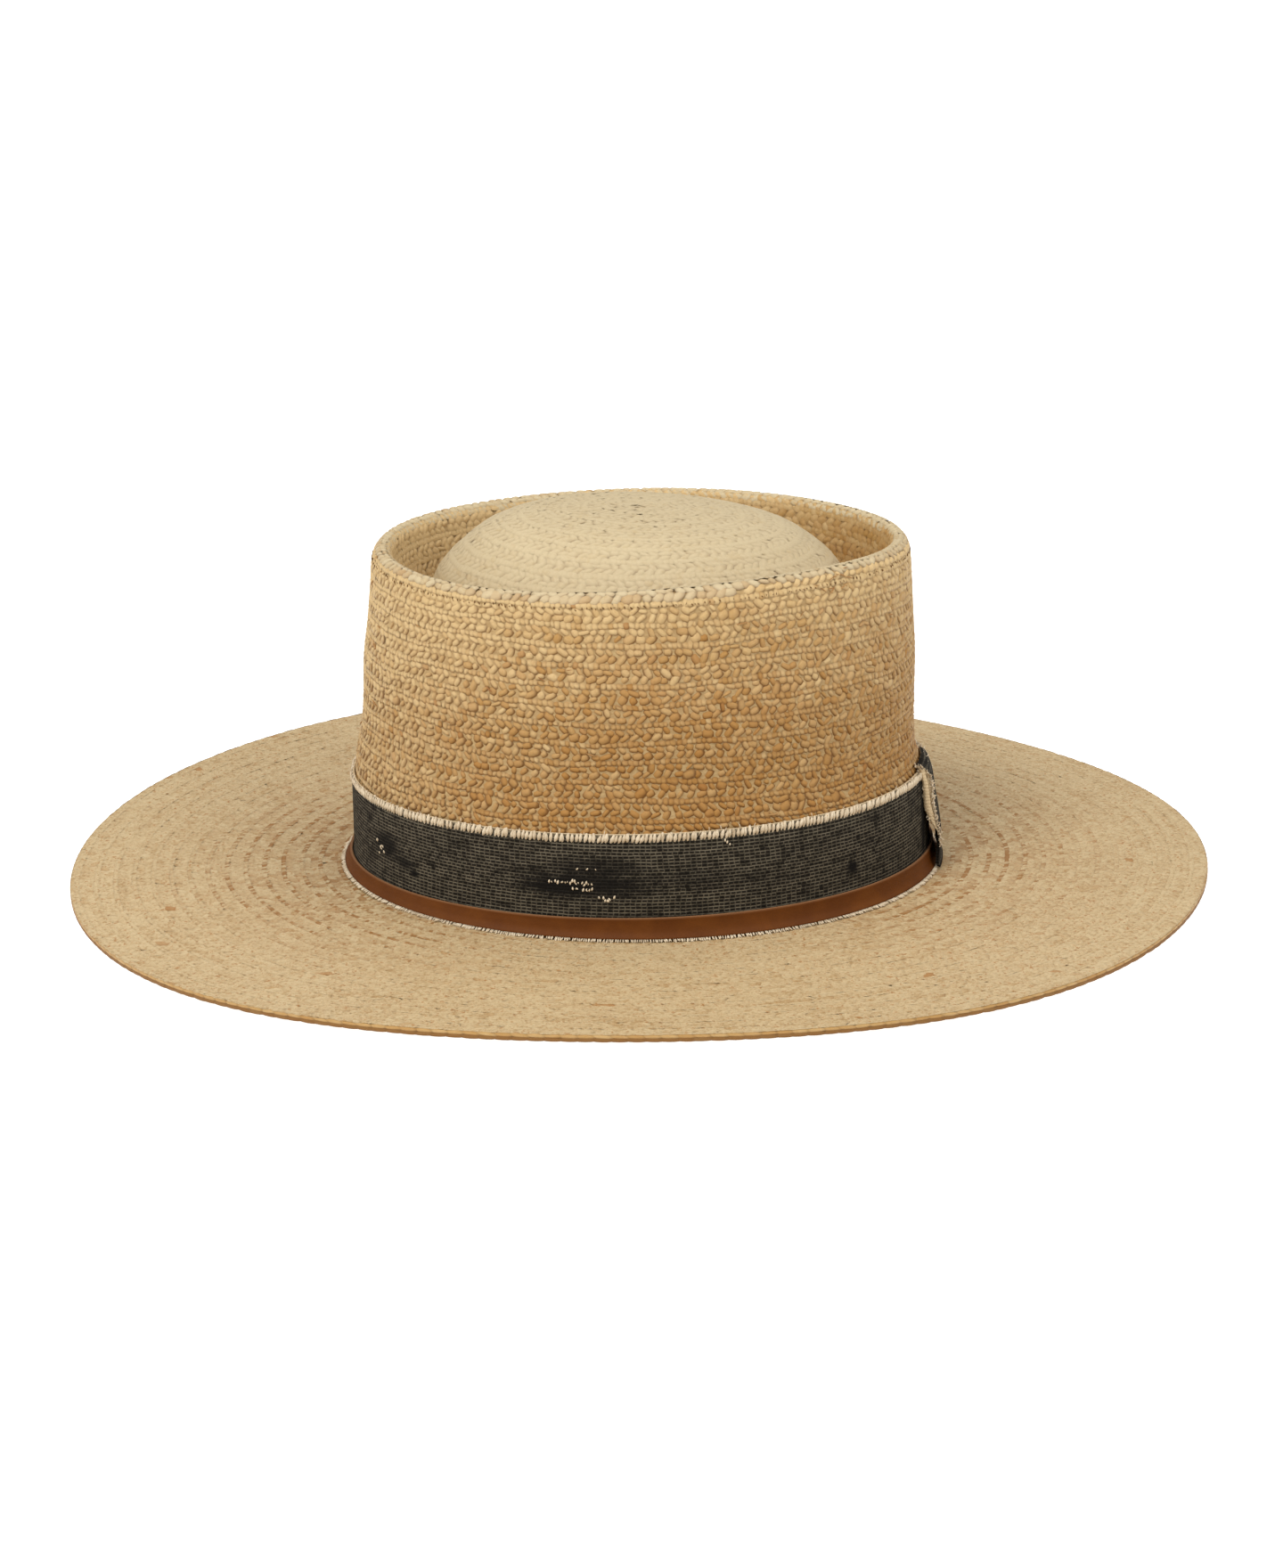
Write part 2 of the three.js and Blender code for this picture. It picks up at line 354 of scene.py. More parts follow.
@dataclass(frozen=True)
class WearAndShadePlace:
    """A darkened place on the ribbon, for wear and for painted shade: its middle and reach, along and up the
    ribbon.
    """

    along: float
    up: float
    reach_along: float
    reach_up: float
    depth: float


@dataclass(frozen=True)
class RibbonFinish:
    """Washed plain weave: dark warp ovals in a net of beige weft, with black smudges where it is worn and
    painted shadow where shade falls on it.
    """

    name: str
    warp_pitch: float = 1.8
    weft_pitch: float = 1.13
    dark: Colour = (0.0075, 0.0060, 0.0042, 1.0)
    faded: Colour = (0.020, 0.017, 0.0125, 1.0)
    net: Colour = (0.165, 0.141, 0.10, 1.0)
    smudge_and_shadow: Colour = (0.0075, 0.0065, 0.0055, 1.0)
    tan: Colour = (0.60, 0.44, 0.24, 1.0)
    tan_light: Colour = (0.74, 0.60, 0.40, 1.0)
    # These places hold real smudges and also painted shadow.
    worn: tuple[WearAndShadePlace, ...] = ()
    cloth_uv: str = "cloth"
    attribute: str = "cloth_edge"

    def material(self) -> bpy.types.Material:
        """The cloth's material, which reads millimetres along and up the ribbon from its UV map."""
        shader = Shader(self.name)
        cloth = shader.uv(self.cloth_uv)
        along, up, _ = shader.parts(cloth)
        wobble = shader.noise(cloth, 0.22, 2.0)
        drift = shader.noise(shader.stretched(cloth, (0.05, 0.6, 1.0)), 1.0, 2.0)
        across_weft = (up + wobble * 0.45) / self.weft_pitch
        row = across_weft.apply("FLOOR")
        chance = shader.node("ShaderNodeTexWhiteNoise", {"noise_dimensions": "1D"}, {"W": row})
        across_warp = (along + wobble * 0.7) / self.warp_pitch + chance * 0.5
        in_column = (across_warp.apply("FRACT") - 0.5).apply("ABSOLUTE")
        in_row = (across_weft.apply("FRACT") - 0.5).apply("ABSOLUTE")
        bare = in_row.ramp(0.22, 0.42).apply("MAXIMUM", in_column.ramp(0.34, 0.46) * 0.65)
        threads = shader.noise(shader.stretched(cloth, (0.8, 1.3, 1.0)), 1.0, 3.0, 0.7)
        washed = shader.noise(shader.stretched(cloth, (0.6, 1.0, 1.0)), 0.11, 3.0, 0.6)
        cell = shader.node("ShaderNodeCombineXYZ", None, {0: across_warp.apply("FLOOR"), 1: row})
        each = shader.node("ShaderNodeTexWhiteNoise", {"noise_dimensions": "2D"}, {"Vector": cell})
        slubs = shader.noise(shader.stretched(cloth, (0.28, 0.95, 1.0)), 1.0, 2.0, 0.6)
        wear = threads * 0.8 + slubs * 0.5 + washed * 0.7 + drift * 0.6 + each * 0.5 - 0.98
        show = bare * wear.ramp(0.0, 1.0)
        fading = (threads * 0.3 + slubs * 0.4 + each * 0.3).ramp(0.25, 0.8)
        colour = shader.blend(fading, self.dark, self.faded)
        colour = shader.blend(show, colour, self.net)
        streaks = shader.noise(shader.stretched(cloth, (0.1, 0.75, 1.0)), 1.0, 3.0, 0.65)
        # Each place mixes the cloth towards the smudge colour: worn smudges, and painted shadow for places in
        # shade.
        for place in self.worn:
            reach = ((along - place.along) / place.reach_along) ** 2.0
            rise = ((up - place.up) / place.reach_up) ** 2.0
            edge = (reach + rise).apply("SQRT") + (streaks - 0.5) * 1.1 + (threads - 0.5) * 0.5
            colour = shader.blend((1.0 - edge.ramp(0.35, 1.2)) * place.depth, colour, self.smudge_and_shadow)
        side, _, _, _ = shader.channels(self.attribute)
        colour = shader.blend(side, colour, shader.blend(threads, self.tan, self.tan_light))
        normal = shader.bump((1.0 - bare) * 0.8 + threads * 0.3, 0.00022, 0.8)
        varying = {"Base Color": colour, "Roughness": 0.88 + threads * 0.1, "Normal": normal}
        return shader.finish(varying, {"Specular IOR Level": 0.1})


@dataclass(frozen=True)
class ThreadFinish:
    """Cotton thread, a little soiled."""

    name: str = "cream_thread"
    cream: Colour = (0.72, 0.61, 0.45, 1.0)
    soiled: Colour = (0.47, 0.36, 0.23, 1.0)

    def material(self) -> bpy.types.Material:
        """The thread's material."""
        shader = Shader(self.name)
        place = shader.place()
        fuzz = shader.noise(place, 2600.0, 3.0, 0.6)
        soil = shader.noise(place, 260.0, 3.0, 0.6)
        colour = shader.blend((soil * 0.8 + fuzz * 0.5).ramp(0.35, 0.85), self.soiled, self.cream)
        normal = shader.bump(fuzz, 0.0001, 0.6)
        varying = {"Base Color": colour, "Roughness": 0.8 + fuzz * 0.15, "Normal": normal}
        return shader.finish(varying, {"Specular IOR Level": 0.15})


@dataclass(frozen=True)
class LeatherFinish:
    """Smooth brown leather strip with a fine grain and a lighter cut edge."""

    name: str = "brown_leather"
    brown: Colour = (0.132, 0.039, 0.0045, 1.0)
    dark: Colour = (0.10, 0.028, 0.0033, 1.0)
    cut: Colour = (0.24, 0.12, 0.055, 1.0)
    attribute: str = "leather_edge"

    def material(self) -> bpy.types.Material:
        """The strip's material."""
        shader = Shader(self.name)
        place = shader.place()
        cells = {"Vector": place, "Scale": 1500.0}
        grain = shader.node("ShaderNodeTexVoronoi", {"feature": "DISTANCE_TO_EDGE"}, cells)
        cloud = shader.noise(place, 90.0, 3.0, 0.6)
        edge, _, _, _ = shader.channels(self.attribute)
        colour = shader.blend(cloud.ramp(0.3, 0.75), self.dark, self.brown)
        colour = shader.blend(edge, colour, self.cut)
        normal = shader.bump(grain.ramp(0.0, 0.25) * 0.7 + cloud * 0.6, 0.00008, 0.5)
        varying = {"Base Color": colour, "Roughness": 0.5 + cloud * 0.15 + edge * 0.2, "Normal": normal}
        return shader.finish(varying, {"Specular IOR Level": 0.12})


@dataclass(frozen=True)
class FloorFinish:
    """A plain pale floor that throws a little light back."""

    name: str = "pale_floor"
    glow: float = 0.95
    colour: Colour = (0.45, 0.45, 0.45, 1.0)
    shine: Colour = (1.0, 1.0, 1.0, 1.0)

    def material(self) -> bpy.types.Material:
        """The floor's material."""
        shader = Shader(self.name)
        varying = {"Base Color": self.colour, "Roughness": 0.9, "Emission Color": self.shine}
        return shader.finish(varying, {"Specular IOR Level": 0.0, "Emission Strength": self.glow})


# Mesh helpers


def mesh_object(
    name: str,
    points: Array,
    faces: Array,
    material: bpy.types.Material,
    uv: Optional[tuple[str, Array]] = None,
    colour: Optional[tuple[str, Array]] = None,
) -> bpy.types.Object:
    """Makes a mesh object from arrays.

    Args:
        name: the piece's name.
        points: corners in millimetres.
        faces: four corner numbers a face.
        material: its finish.
        uv: a UV map's name and its two values at each point.
        colour: a colour attribute's name and its four values at each point.

    Returns:
        The object, linked to the scene.
    """
    mesh = bpy.data.meshes.new(name)
    mesh.vertices.add(len(points))
    mesh.vertices.foreach_set("co", (points * MM).astype(np.float32).ravel())
    corners = faces.astype(np.int32).ravel()
    mesh.loops.add(len(corners))
    mesh.loops.foreach_set("vertex_index", corners)
    mesh.polygons.add(len(faces))
    mesh.polygons.foreach_set("loop_start", np.arange(0, len(corners), faces.shape[1], dtype=np.int32))
    mesh.update(calc_edges=True)
    mesh.polygons.foreach_set("use_smooth", np.ones(len(faces), dtype=bool))
    if uv is not None:
        layer = mesh.uv_layers.new(name=uv[0])
        layer.data.foreach_set("uv", uv[1][corners].astype(np.float32).ravel())
    if colour is not None:
        layer = mesh.color_attributes.new(colour[0], "FLOAT_COLOR", "POINT")
        layer.data.foreach_set("color", colour[1].astype(np.float32).ravel())
    mesh.validate()
    mesh.materials.append(material)
    made = bpy.data.objects.new(name, mesh)
    bpy.context.scene.collection.objects.link(made)
    return made


def running_length(path: Array) -> Array:
    """Length along a row of points, from its first one.

    Args:
        path: the points, one a row.

    Returns:
        The length up to each point.
    """
    return np.concatenate([[0.0], np.cumsum(np.linalg.norm(np.diff(path, axis=0), axis=1))])


def grid_faces(rows: int, columns: int, rows_close: bool = False, columns_close: bool = False) -> Array:
    """Faces of a grid of points.

    Args:
        rows: points along the first direction.
        columns: points along the second direction.
        rows_close: whether the last row joins the first.
        columns_close: whether the last column joins the first.

    Returns:
        Four point numbers a face.
    """
    row = np.arange(rows if rows_close else rows - 1)[:, None]
    column = np.arange(columns if columns_close else columns - 1)[None, :]
    next_row, next_column = (row + 1) % rows, (column + 1) % columns
    steps = ((row, column), (next_row, column), (next_row, next_column), (row, next_column))
    corners = [at_row * columns + at_column for at_row, at_column in steps]
    return np.stack(np.broadcast_arrays(*corners), axis=-1).reshape(-1, 4)


# The hat's form


@dataclass(frozen=True)
class Wave:
    """One wave round the hat."""

    turns: int
    across: float
    along: float


def wave_height(waves: Sequence[Wave], angle: Array) -> Array:
    """Height of a sum of waves at each angle."""
    total = np.zeros_like(angle, dtype=float)
    for one in waves:
        total = total + one.across * np.cos(one.turns * angle) + one.along * np.sin(one.turns * angle)
    return total


class Side(Enum):
    """Face of the straw shell."""

    OUTER = 1
    INNER = -1
    EDGE = 0


@dataclass
class HatForm:
    """The hat's surface: distance from the tip's middle along the profile, and angle round the crown."""

    PROBE_STEP: ClassVar[float] = 0.4
    PROBE_TURN: ClassVar[float] = 0.004

    crown_height: float = 111.5
    crown: tuple[float, float] = (193.2, 166.4)
    rim: tuple[float, float] = (173.8, 145.0)
    groove_depth: float = 25.5
    groove: tuple[float, float] = (150.0, 121.6)
    tip_height: float = 36.4
    tip_shift: float = 1.2
    tip_fall: float = 3.9
    tip_fall_power: float = 5.0
    brim: tuple[float, float] = (390.0, 363.0)
    brim_curve: float = 1.6
    edge_rise: float = 1.2
    thickness: float = 2.0
    tip_follow: float = 0.1
    wall_follow: float = 4.0
    edge_waves: tuple[Wave, ...] = (
        Wave(1, 0.28, 0.32), Wave(2, 2.69, 1.18), Wave(3, 0.64, -1.34), Wave(4, 0.68, -0.28),
    )
    reach_waves: tuple[Wave, ...] = (Wave(1, -0.21, -0.55), Wave(2, 1.08, -1.14), Wave(3, 0.49, 0.1))
    rim_waves: tuple[Wave, ...] = (Wave(1, 1.18, 1.3), Wave(2, 0.19, 0.9), Wave(3, 0.0, 0.5))
    ribbon_wave: Wave = Wave(1, 1.77, 0.88)
    # Up: share of the crown's height. Taper: share of the way from the crown's oval to the rim's.
    # Bulge: in thicknesses of the straw.
    wall_rows: tuple[tuple[float, float, float], ...] = (
        (0.0, -0.371, 0.0), (0.0072, -0.237, 0.0), (0.0224, -0.103, 0.0), (0.049, -0.041, 0.0),
        (0.18, -0.02, 0.15), (0.278, 0.02, 0.4), (0.359, 0.19, 0.9), (0.437, 0.318, 0.63),
        (0.538, 0.367, 0.42), (0.655, 0.39, 0.3), (0.771, 0.515, 0.1), (0.893, 0.62, 0.0),
        (0.948, 0.67, 0.0), (0.976, 0.742, 0.0), (0.991, 0.856, 0.0),
    )
    # Down: share of the groove's depth. Inward: share of the way from the rim's oval to the groove's.
    groove_rows: tuple[tuple[float, float], ...] = (
        (0.0, 0.0), (0.02, 0.15), (0.085, 0.265), (0.23, 0.345), (0.51, 0.49), (0.8, 0.655),
        (0.92, 0.77), (0.985, 0.9),
    )
    # Size: share of the groove's oval. Rise: share of the tip's height.
    tip_rows: tuple[tuple[float, float], ...] = (
        (1.0, 0.0), (0.981, 0.017), (0.965, 0.083), (0.93, 0.285), (0.9, 0.417), (0.85, 0.545), (0.792, 0.65),
        (0.705, 0.78), (0.575, 0.887), (0.38, 0.962), (0.17, 0.996), (0.0, 1.0),
    )
    brim_shares: tuple[float, ...] = (1.0, 0.93, 0.8, 0.62, 0.44, 0.26, 0.1, 0.03)
    samples: int = 2400
    solid_steps: int = 60
    marks: dict[str, float] = field(default_factory=dict)

    def __post_init__(self) -> None:
        """Works out the profile and where it stands over the frame's origin."""
        rows = self._rows()
        mean = (rows[:, 0] + rows[:, 1]) / 2
        step = np.hypot(np.diff(mean), np.diff(rows[:, 2]))
        knots = np.concatenate([[0.0], np.cumsum(step)])
        slopes = np.gradient(rows, knots, axis=0, edge_order=1)
        slopes[0, 2] = 0.0
        self.distance = np.linspace(0.0, knots[-1], self.samples)
        span = np.clip(np.searchsorted(knots, self.distance, side="right") - 1, 0, len(knots) - 2)
        width = (knots[span + 1] - knots[span])[:, None]
        part = ((self.distance - knots[span])[:, None]) / width
        first, last = rows[span], rows[span + 1]
        into, out = slopes[span] * width, slopes[span + 1] * width
        self.profile = (
            first * (2 * part**3 - 3 * part**2 + 1)
            + into * (part**3 - 2 * part**2 + part)
            + last * (-2 * part**3 + 3 * part**2)
            + out * (part**3 - part**2)
        )
        self.profile[:, 5] = np.clip(self.profile[:, 5], 0.0, 1.0)
        counts = (len(self.tip_rows), len(self.groove_rows), len(self.wall_rows))
        self.marks = {
            "tip": float(knots[counts[0] - 1]),
            "crest": float(knots[counts[0] + counts[1] - 1]),
            "foot": float(knots[sum(counts) - 1]),
            "edge": float(knots[-1]),
        }
        self.centre = np.zeros(3)
        low, high = (np.array(corner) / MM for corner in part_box("straw_body"))
        around = np.arange(self.solid_steps) * TURN / self.solid_steps
        edge = self.point(np.full(self.solid_steps, self.marks["edge"]), around)
        plan = (edge.min(0) + edge.max(0)) / 2
        place, turn = np.meshgrid(knots[: counts[0]], around, indexing="ij")
        top = self.point(place, turn)[..., 2].max()
        middle = (low + high) / 2 - plan
        self.centre = np.array([middle[0], middle[1], high[2] - top])

    def _rows(self) -> Array:
        """Profile rows, tip first: half length, half width, height, bulge, rim share, brim share and fall."""
        groove_height = self.crown_height - self.groove_depth
        rows = []
        for size, rise in reversed(self.tip_rows):
            lengths = (self.groove[0] * size / 2, self.groove[1] * size / 2)
            fall = self.tip_fall * size * rise**self.tip_fall_power
            shift = self.tip_shift * math.sqrt(rise)
            height = groove_height + self.tip_height * rise
            rows.append((*lengths, height, shift, self.tip_follow * size, 0.0, fall))
        for down, inward in reversed(self.groove_rows):
            lengths = tuple((r + (g - r) * inward) / 2 for r, g in zip(self.rim, self.groove))
            height = self.crown_height - self.groove_depth * down
            rows.append((*lengths, height, 0.0, 1 + (self.tip_follow - 1) * down, 0.0, 0.0))
        for up, taper, bulge in reversed(self.wall_rows):
            lengths = tuple((c + (r - c) * taper) / 2 for c, r in zip(self.crown, self.rim))
            height = self.crown_height * up
            rows.append((*lengths, height, bulge * self.thickness, up**self.wall_follow, 0.0, 0.0))
        foot = rows[-1]
        for share in reversed(self.brim_shares):
            lengths = tuple(f + (b / 2 - f) * share for f, b in zip(foot[:2], self.brim))
            rows.append((*lengths, 0.0, 0.0, 0.0, share, 0.0))
        return np.array(rows, dtype=float)

    def point(self, distance: Array, angle: Array) -> Array:
        """Points of the outer surface.

        Args:
            distance: millimetres along the profile from the tip's middle.
            angle: radians round the crown from +X.

        Returns:
            Points in millimetres, in the frame.
        """
        column = [np.interp(distance, self.distance, self.profile[:, k]) for k in range(7)]
        length, width, height, bulge, rim, brim, fall = column
        reach = wave_height(self.reach_waves, angle) * brim
        lift = (self.edge_rise + wave_height(self.edge_waves, angle)) * brim**self.brim_curve
        lift = lift + wave_height(self.rim_waves, angle) * rim - fall * np.sin(angle)
        x = (width + reach) * np.cos(angle)
        y = (length + reach) * np.sin(angle) - bulge
        return np.stack([x, y, height + lift], axis=-1) + self.centre

    def normal(self, distance: Array, angle: Array) -> Array:
        """Outward unit normals of the outer surface, as for point()."""
        step, turn = self.PROBE_STEP, self.PROBE_TURN
        along = self.point(distance + step, angle) - self.point(distance - step, angle)
        sideways = self.point(distance, angle + turn) - self.point(distance, angle - turn)
        made = np.cross(sideways, along)
        size = np.linalg.norm(made, axis=-1, keepdims=True)
        up = np.array([0.0, 0.0, 1.0])
        made = np.where(size > 1e-9, made / np.maximum(size, 1e-9), up)
        return np.where(distance[..., None] < 1.0, up, -made)

    def raised(self, distance: Array, angle: Array, height: Array, side: Side = Side.OUTER) -> Array:
        """Points at a height above one face of the shell.

        Args:
            distance: millimetres along the profile, or down the brim's edge face.
            angle: radians round the crown.
            height: millimetres above the face.
            side: the face.

        Returns:
            Points in millimetres.
        """
        if side is Side.EDGE:
            end = np.full_like(distance, self.marks["edge"])
            base, normal = self.point(end, angle), self.normal(end, angle)
            outward = base - self.point(end - self.PROBE_STEP, angle)
            outward = outward / np.linalg.norm(outward, axis=-1, keepdims=True)
            return base - normal * distance[..., None] + outward * np.asarray(height)[..., None]
        base = self.point(distance, angle)
        normal = self.normal(distance, angle)
        lift = height if side is Side.OUTER else -(height + self.thickness)
        return base + normal * np.asarray(lift)[..., None]

    def wall(self, height: Array) -> tuple[Array, Array, Array]:
        """Half length, half width and bulge of the wall at a height above the brim."""
        up = [row[0] * self.crown_height for row in self.wall_rows]
        taper = np.interp(height, up, [row[1] for row in self.wall_rows])
        bulge = np.interp(height, up, [row[2] * self.thickness for row in self.wall_rows])
        half = [(c + (r - c) * taper) / 2 for c, r in zip(self.crown, self.rim)]
        return half[0], half[1], bulge

    def beside_wall(self, height: Array, outside: Array, angle: Array) -> Array:
        """Points at a height above the brim and a distance outside the wall.

        Args:
            height: millimetres above the brim's upper face.
            outside: millimetres out from the wall.
            angle: radians round the crown.

        Returns:
            Points in millimetres.
        """
        length, width, bulge = self.wall(height)
        x = (width + outside) * np.cos(angle)
        y = (length + outside) * np.sin(angle) - bulge
        return np.stack(np.broadcast_arrays(x, y, height), axis=-1) + self.centre


# Straw


@dataclass
class StrawShell:
    """The shell behind the strands, closed from the tip over the brim's edge and back along the inside."""

    form: HatForm
    steps: int = 180
    row_length: float = 3.2
    edge_round: float = 0.1
    sink: float = 0.45

    def build(self, material: bpy.types.Material) -> bpy.types.Object:
        """Makes the shell, which stands for the plain solid.

        Args:
            material: its finish.

        Returns:
            The shell.
        """
        edge = self.form.marks["edge"]
        count = int(edge / self.row_length)
        rows = np.linspace(0.8, edge - self.sink, count)
        angle = np.arange(self.steps) * TURN / self.steps
        distance, turn = np.meshgrid(rows, angle, indexing="ij")
        outer = self.form.raised(distance, turn, np.full_like(distance, -self.sink))
        inner = self.form.raised(distance, turn, np.full_like(distance, -self.sink), Side.INNER)[::-1]
        middle = (outer[-1] + inner[0]) / 2
        outward = middle - self.form.centre
        outward[:, 2] = 0.0
        middle = middle + self.edge_round * outward / np.linalg.norm(outward, axis=1, keepdims=True)
        rings = np.concatenate([outer, middle[None], inner])
        points = rings.reshape(-1, 3)
        faces = grid_faces(len(rings), self.steps, False, True)[:, ::-1]
        ends = []
        for ring, flip in ((0, False), (len(rings) - 1, True)):
            ends.append(rings[ring].mean(0))
            hub = len(points) + len(ends) - 1
            here = ring * self.steps + np.arange(self.steps)
            after = ring * self.steps + (np.arange(self.steps) + 1) % self.steps
            hubs = np.full(self.steps, hub)
            order = (here, after, hubs, hubs) if not flip else (after, here, hubs, hubs)
            faces = np.concatenate([faces, np.stack(order, axis=-1)])
        points = np.concatenate([points, np.array(ends)])
        shell = mesh_object("straw_shell", points, faces, material)
        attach(shell, BODY)
        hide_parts("straw_body")
        return shell


@dataclass(frozen=True)
class Track:
    """One line of strands along the plait. Middle, width and relief are shares of the row's own."""

    middle: float
    width: float
    length: float
    lean: float
    relief: float
    tone: float
    grid: tuple[int, int]
    # Painted shade: darkening of the whole track.
    shade: float = 0.0
    ring: float = 0.25


def plait_tracks(fine: tuple[int, int], small: tuple[int, int], edge_tone: float) -> tuple[Track, ...]:
    """Two leaning lines of strands and the stitched edge below them.

    Args:
        fine: grid of a strand.
        small: grid of a nub of the stitched edge.
        edge_tone: how much paler the stitched edge is.

    Returns:
        The three tracks of one row.
    """
    return (
        Track(0.18, 0.35, 3.1, 35.0, 1.0, 0.0, fine),
        Track(0.54, 0.40, 3.35, -37.0, 1.1, -0.02, fine),
        Track(0.88, 0.28, 1.7, 20.0, 0.5, edge_tone, small, 0.0, 1.0),
    )


@dataclass
class PlaitLayer:
    """Strands of the sewn plait over one part of the shell, as woven pillows along one spiral.

    Distances run along the hat's profile in millimetres. Tones and shares are 0 to 1.

    Attributes:
        start, stop: where along the profile the strands lie.
        relief, row_relief: height of a strand and of a row's step, in millimetres.
        warmth: from straw colour to amber, at the start and at the stop.
        painted_shade_strength: how dark the painted shade is in the gaps between strands and under each
            strand.
        pitch, shift: height of a row and where the spiral starts.
        tone, spread: mean tone and its unevenness from strand to strand.
        sink: how far a strand's top stands off the shell, in millimetres.
        uneven, turned: unevenness of a strand's size and lean, and the share that lean the other way.
        wander: how far the hand-sewn rows stray, in millimetres.
        ring_depth, ring_reach: darkness and reach of the stain by the crown's foot.
        flecks: share of strands with a brown fleck.
        cover: how much longer and broader than its place a strand is.
        painted_shade_drop: tone lost from start to stop, as painted shade; below 0 the start is the darker
            end.
        onset: bends the run from start to stop. Below 1 the change comes early.
        painted_shade_easing: how much weaker the painted shade in the gaps is at the start.
        painted_side_light: painted light and shade, tone won on the left and on the right side of the hat;
            below 0 that side is darker.
    """

    STRAND_OVERLAP: ClassVar[float] = 1.32
    STRAND_BREADTH: ClassVar[float] = 1.24
    LEAN_SPREAD: ClassVar[float] = 11.0
    MM_PER_UV: ClassVar[float] = 3.7
    PROBE_ANGLE: ClassVar[float] = 0.01

    form: HatForm
    name: str
    start: float
    stop: float
    relief: float
    row_relief: float
    tracks: tuple[Track, ...]
    warmth: tuple[float, float]
    painted_shade_strength: float
    side: Side = Side.OUTER
    pitch: float = 6.35
    shift: float = 0.0
    tone: float = 0.62
    spread: float = 0.2
    sink: float = 0.12
    seed: int = 3
    uneven: float = 1.0
    wander: float = 0.0
    ring_depth: float = 0.0
    ring_reach: float = 26.0
    flecks: float = 0.004
    cover: float = 1.0
    turned: float = 0.0
    painted_shade_drop: float = 0.0
    onset: float = 1.0
    painted_shade_easing: float = 0.0
    painted_side_light: tuple[float, float] = (0.0, 0.0)
    kind: StrawKind = StrawKind.WALL

    def drift(self, distance: Array, angle: Array) -> Array:
        """How far the hand-sewn rows wander along the profile, fading at the layer's ends."""
        ends = np.clip(np.minimum(distance - self.start, self.stop - distance) / 8.0, 0, 1)
        slow = 0.55 * np.sin(5 * angle + 0.06 * distance) + 0.3 * np.sin(11 * angle + 1.3 + 0.13 * distance)
        return self.wander * ends * (slow + 0.2 * np.sin(23 * angle + 0.31 * distance))

    def row_share(self, distance: Array, angle: Array) -> Array:
        """Place across its own row of plait, 0 at the upper edge and 1 at the stitched one."""
        turn = 0.0 if self.side is Side.EDGE else angle / TURN
        return np.mod((distance - self.shift) / self.pitch - turn, 1.0)

    def centres(self, track: Track, rng: np.random.Generator) -> tuple[Array, Array]:
        """Middles of one track's strands.

        Args:
            track: the track.
            rng: source of the plait's unevenness.

        Returns:
            Distance and winding angle of each strand.
        """
        offset = self.shift + track.middle * self.pitch
        climb = 0.0 if self.side is Side.EDGE else self.pitch / TURN
        if climb:
            first = max((self.start - offset) / climb, (0.6 - offset) / climb)
            winding = np.arange(first, (self.stop - offset) / climb, TURN / 240)
        else:
            winding = np.linspace(0, TURN, 720)
        distance = winding * climb + offset
        path = self.form.raised(distance, winding, np.zeros_like(distance), self.side)
        run = running_length(path)
        places = np.arange(track.length * rng.uniform(0.2, 0.8), run[-1] - track.length * 0.3, track.length)
        if self.side is Side.EDGE:
            places = np.linspace(0.0, run[-1], round(run[-1] / track.length), endpoint=False)
        at = np.interp(places + rng.normal(0.0, 0.07 * self.uneven * track.length, len(places)), run, winding)
        return at * climb + offset, at

    def strands(self, track: Track, rng: np.random.Generator) -> tuple[Array, Array, Array, Array]:
        """Corners, UVs, colours and faces of one track's strands.

        Args:
            track: the track.
            rng: source of the plait's unevenness.

        Returns:
            The four arrays of the track.
        """
        distance, winding = self.centres(track, rng)
        count = len(distance)
        each, grid = (count, 1, 1), track.grid
        full = (count, *grid)
        u = np.linspace(-0.5, 0.5, grid[0])[None, :, None]
        v = np.linspace(-0.5, 0.5, grid[1])[None, None, :]
        length = rng.normal(self.STRAND_OVERLAP, 0.14 * self.uneven, count)
        length = (track.length * self.cover * length).reshape(each)
        breadth = rng.normal(self.STRAND_BREADTH, 0.14 * self.uneven, count)
        breadth = (track.width * self.pitch * self.cover * breadth).reshape(each)
        lean = track.lean * np.where(rng.random(count) < self.turned, -0.7, 1.0)
        tilt = np.radians(lean + rng.normal(0.0, self.LEAN_SPREAD * self.uneven, count)).reshape(each)
        run, climb = u * length, v * breadth * (1.0 - 0.4 * (2 * np.abs(u)) ** 2.2)
        around = run * np.cos(tilt) - climb * np.sin(tilt)
        across = run * np.sin(tilt) + climb * np.cos(tilt)
        here = self.form.raised(distance, winding, np.zeros(count), self.side)
        ahead = self.form.raised(distance, winding + self.PROBE_ANGLE, np.zeros(count), self.side)
        speed = np.linalg.norm(ahead - here, axis=1) / self.PROBE_ANGLE
        place = distance.reshape(each) + across
        if self.side is not Side.EDGE:
            place = np.clip(place, 0.3, self.form.marks["edge"] + 0.1)
        angle = winding.reshape(each) + around / np.maximum(speed, 3.0).reshape(each)
        ends = np.clip(1 - (2 * np.abs(u)) ** 3, 0, 1) ** 0.55
        pillow = np.clip(1 - (2 * v) ** 2, 0, 1) ** 0.62 * ends
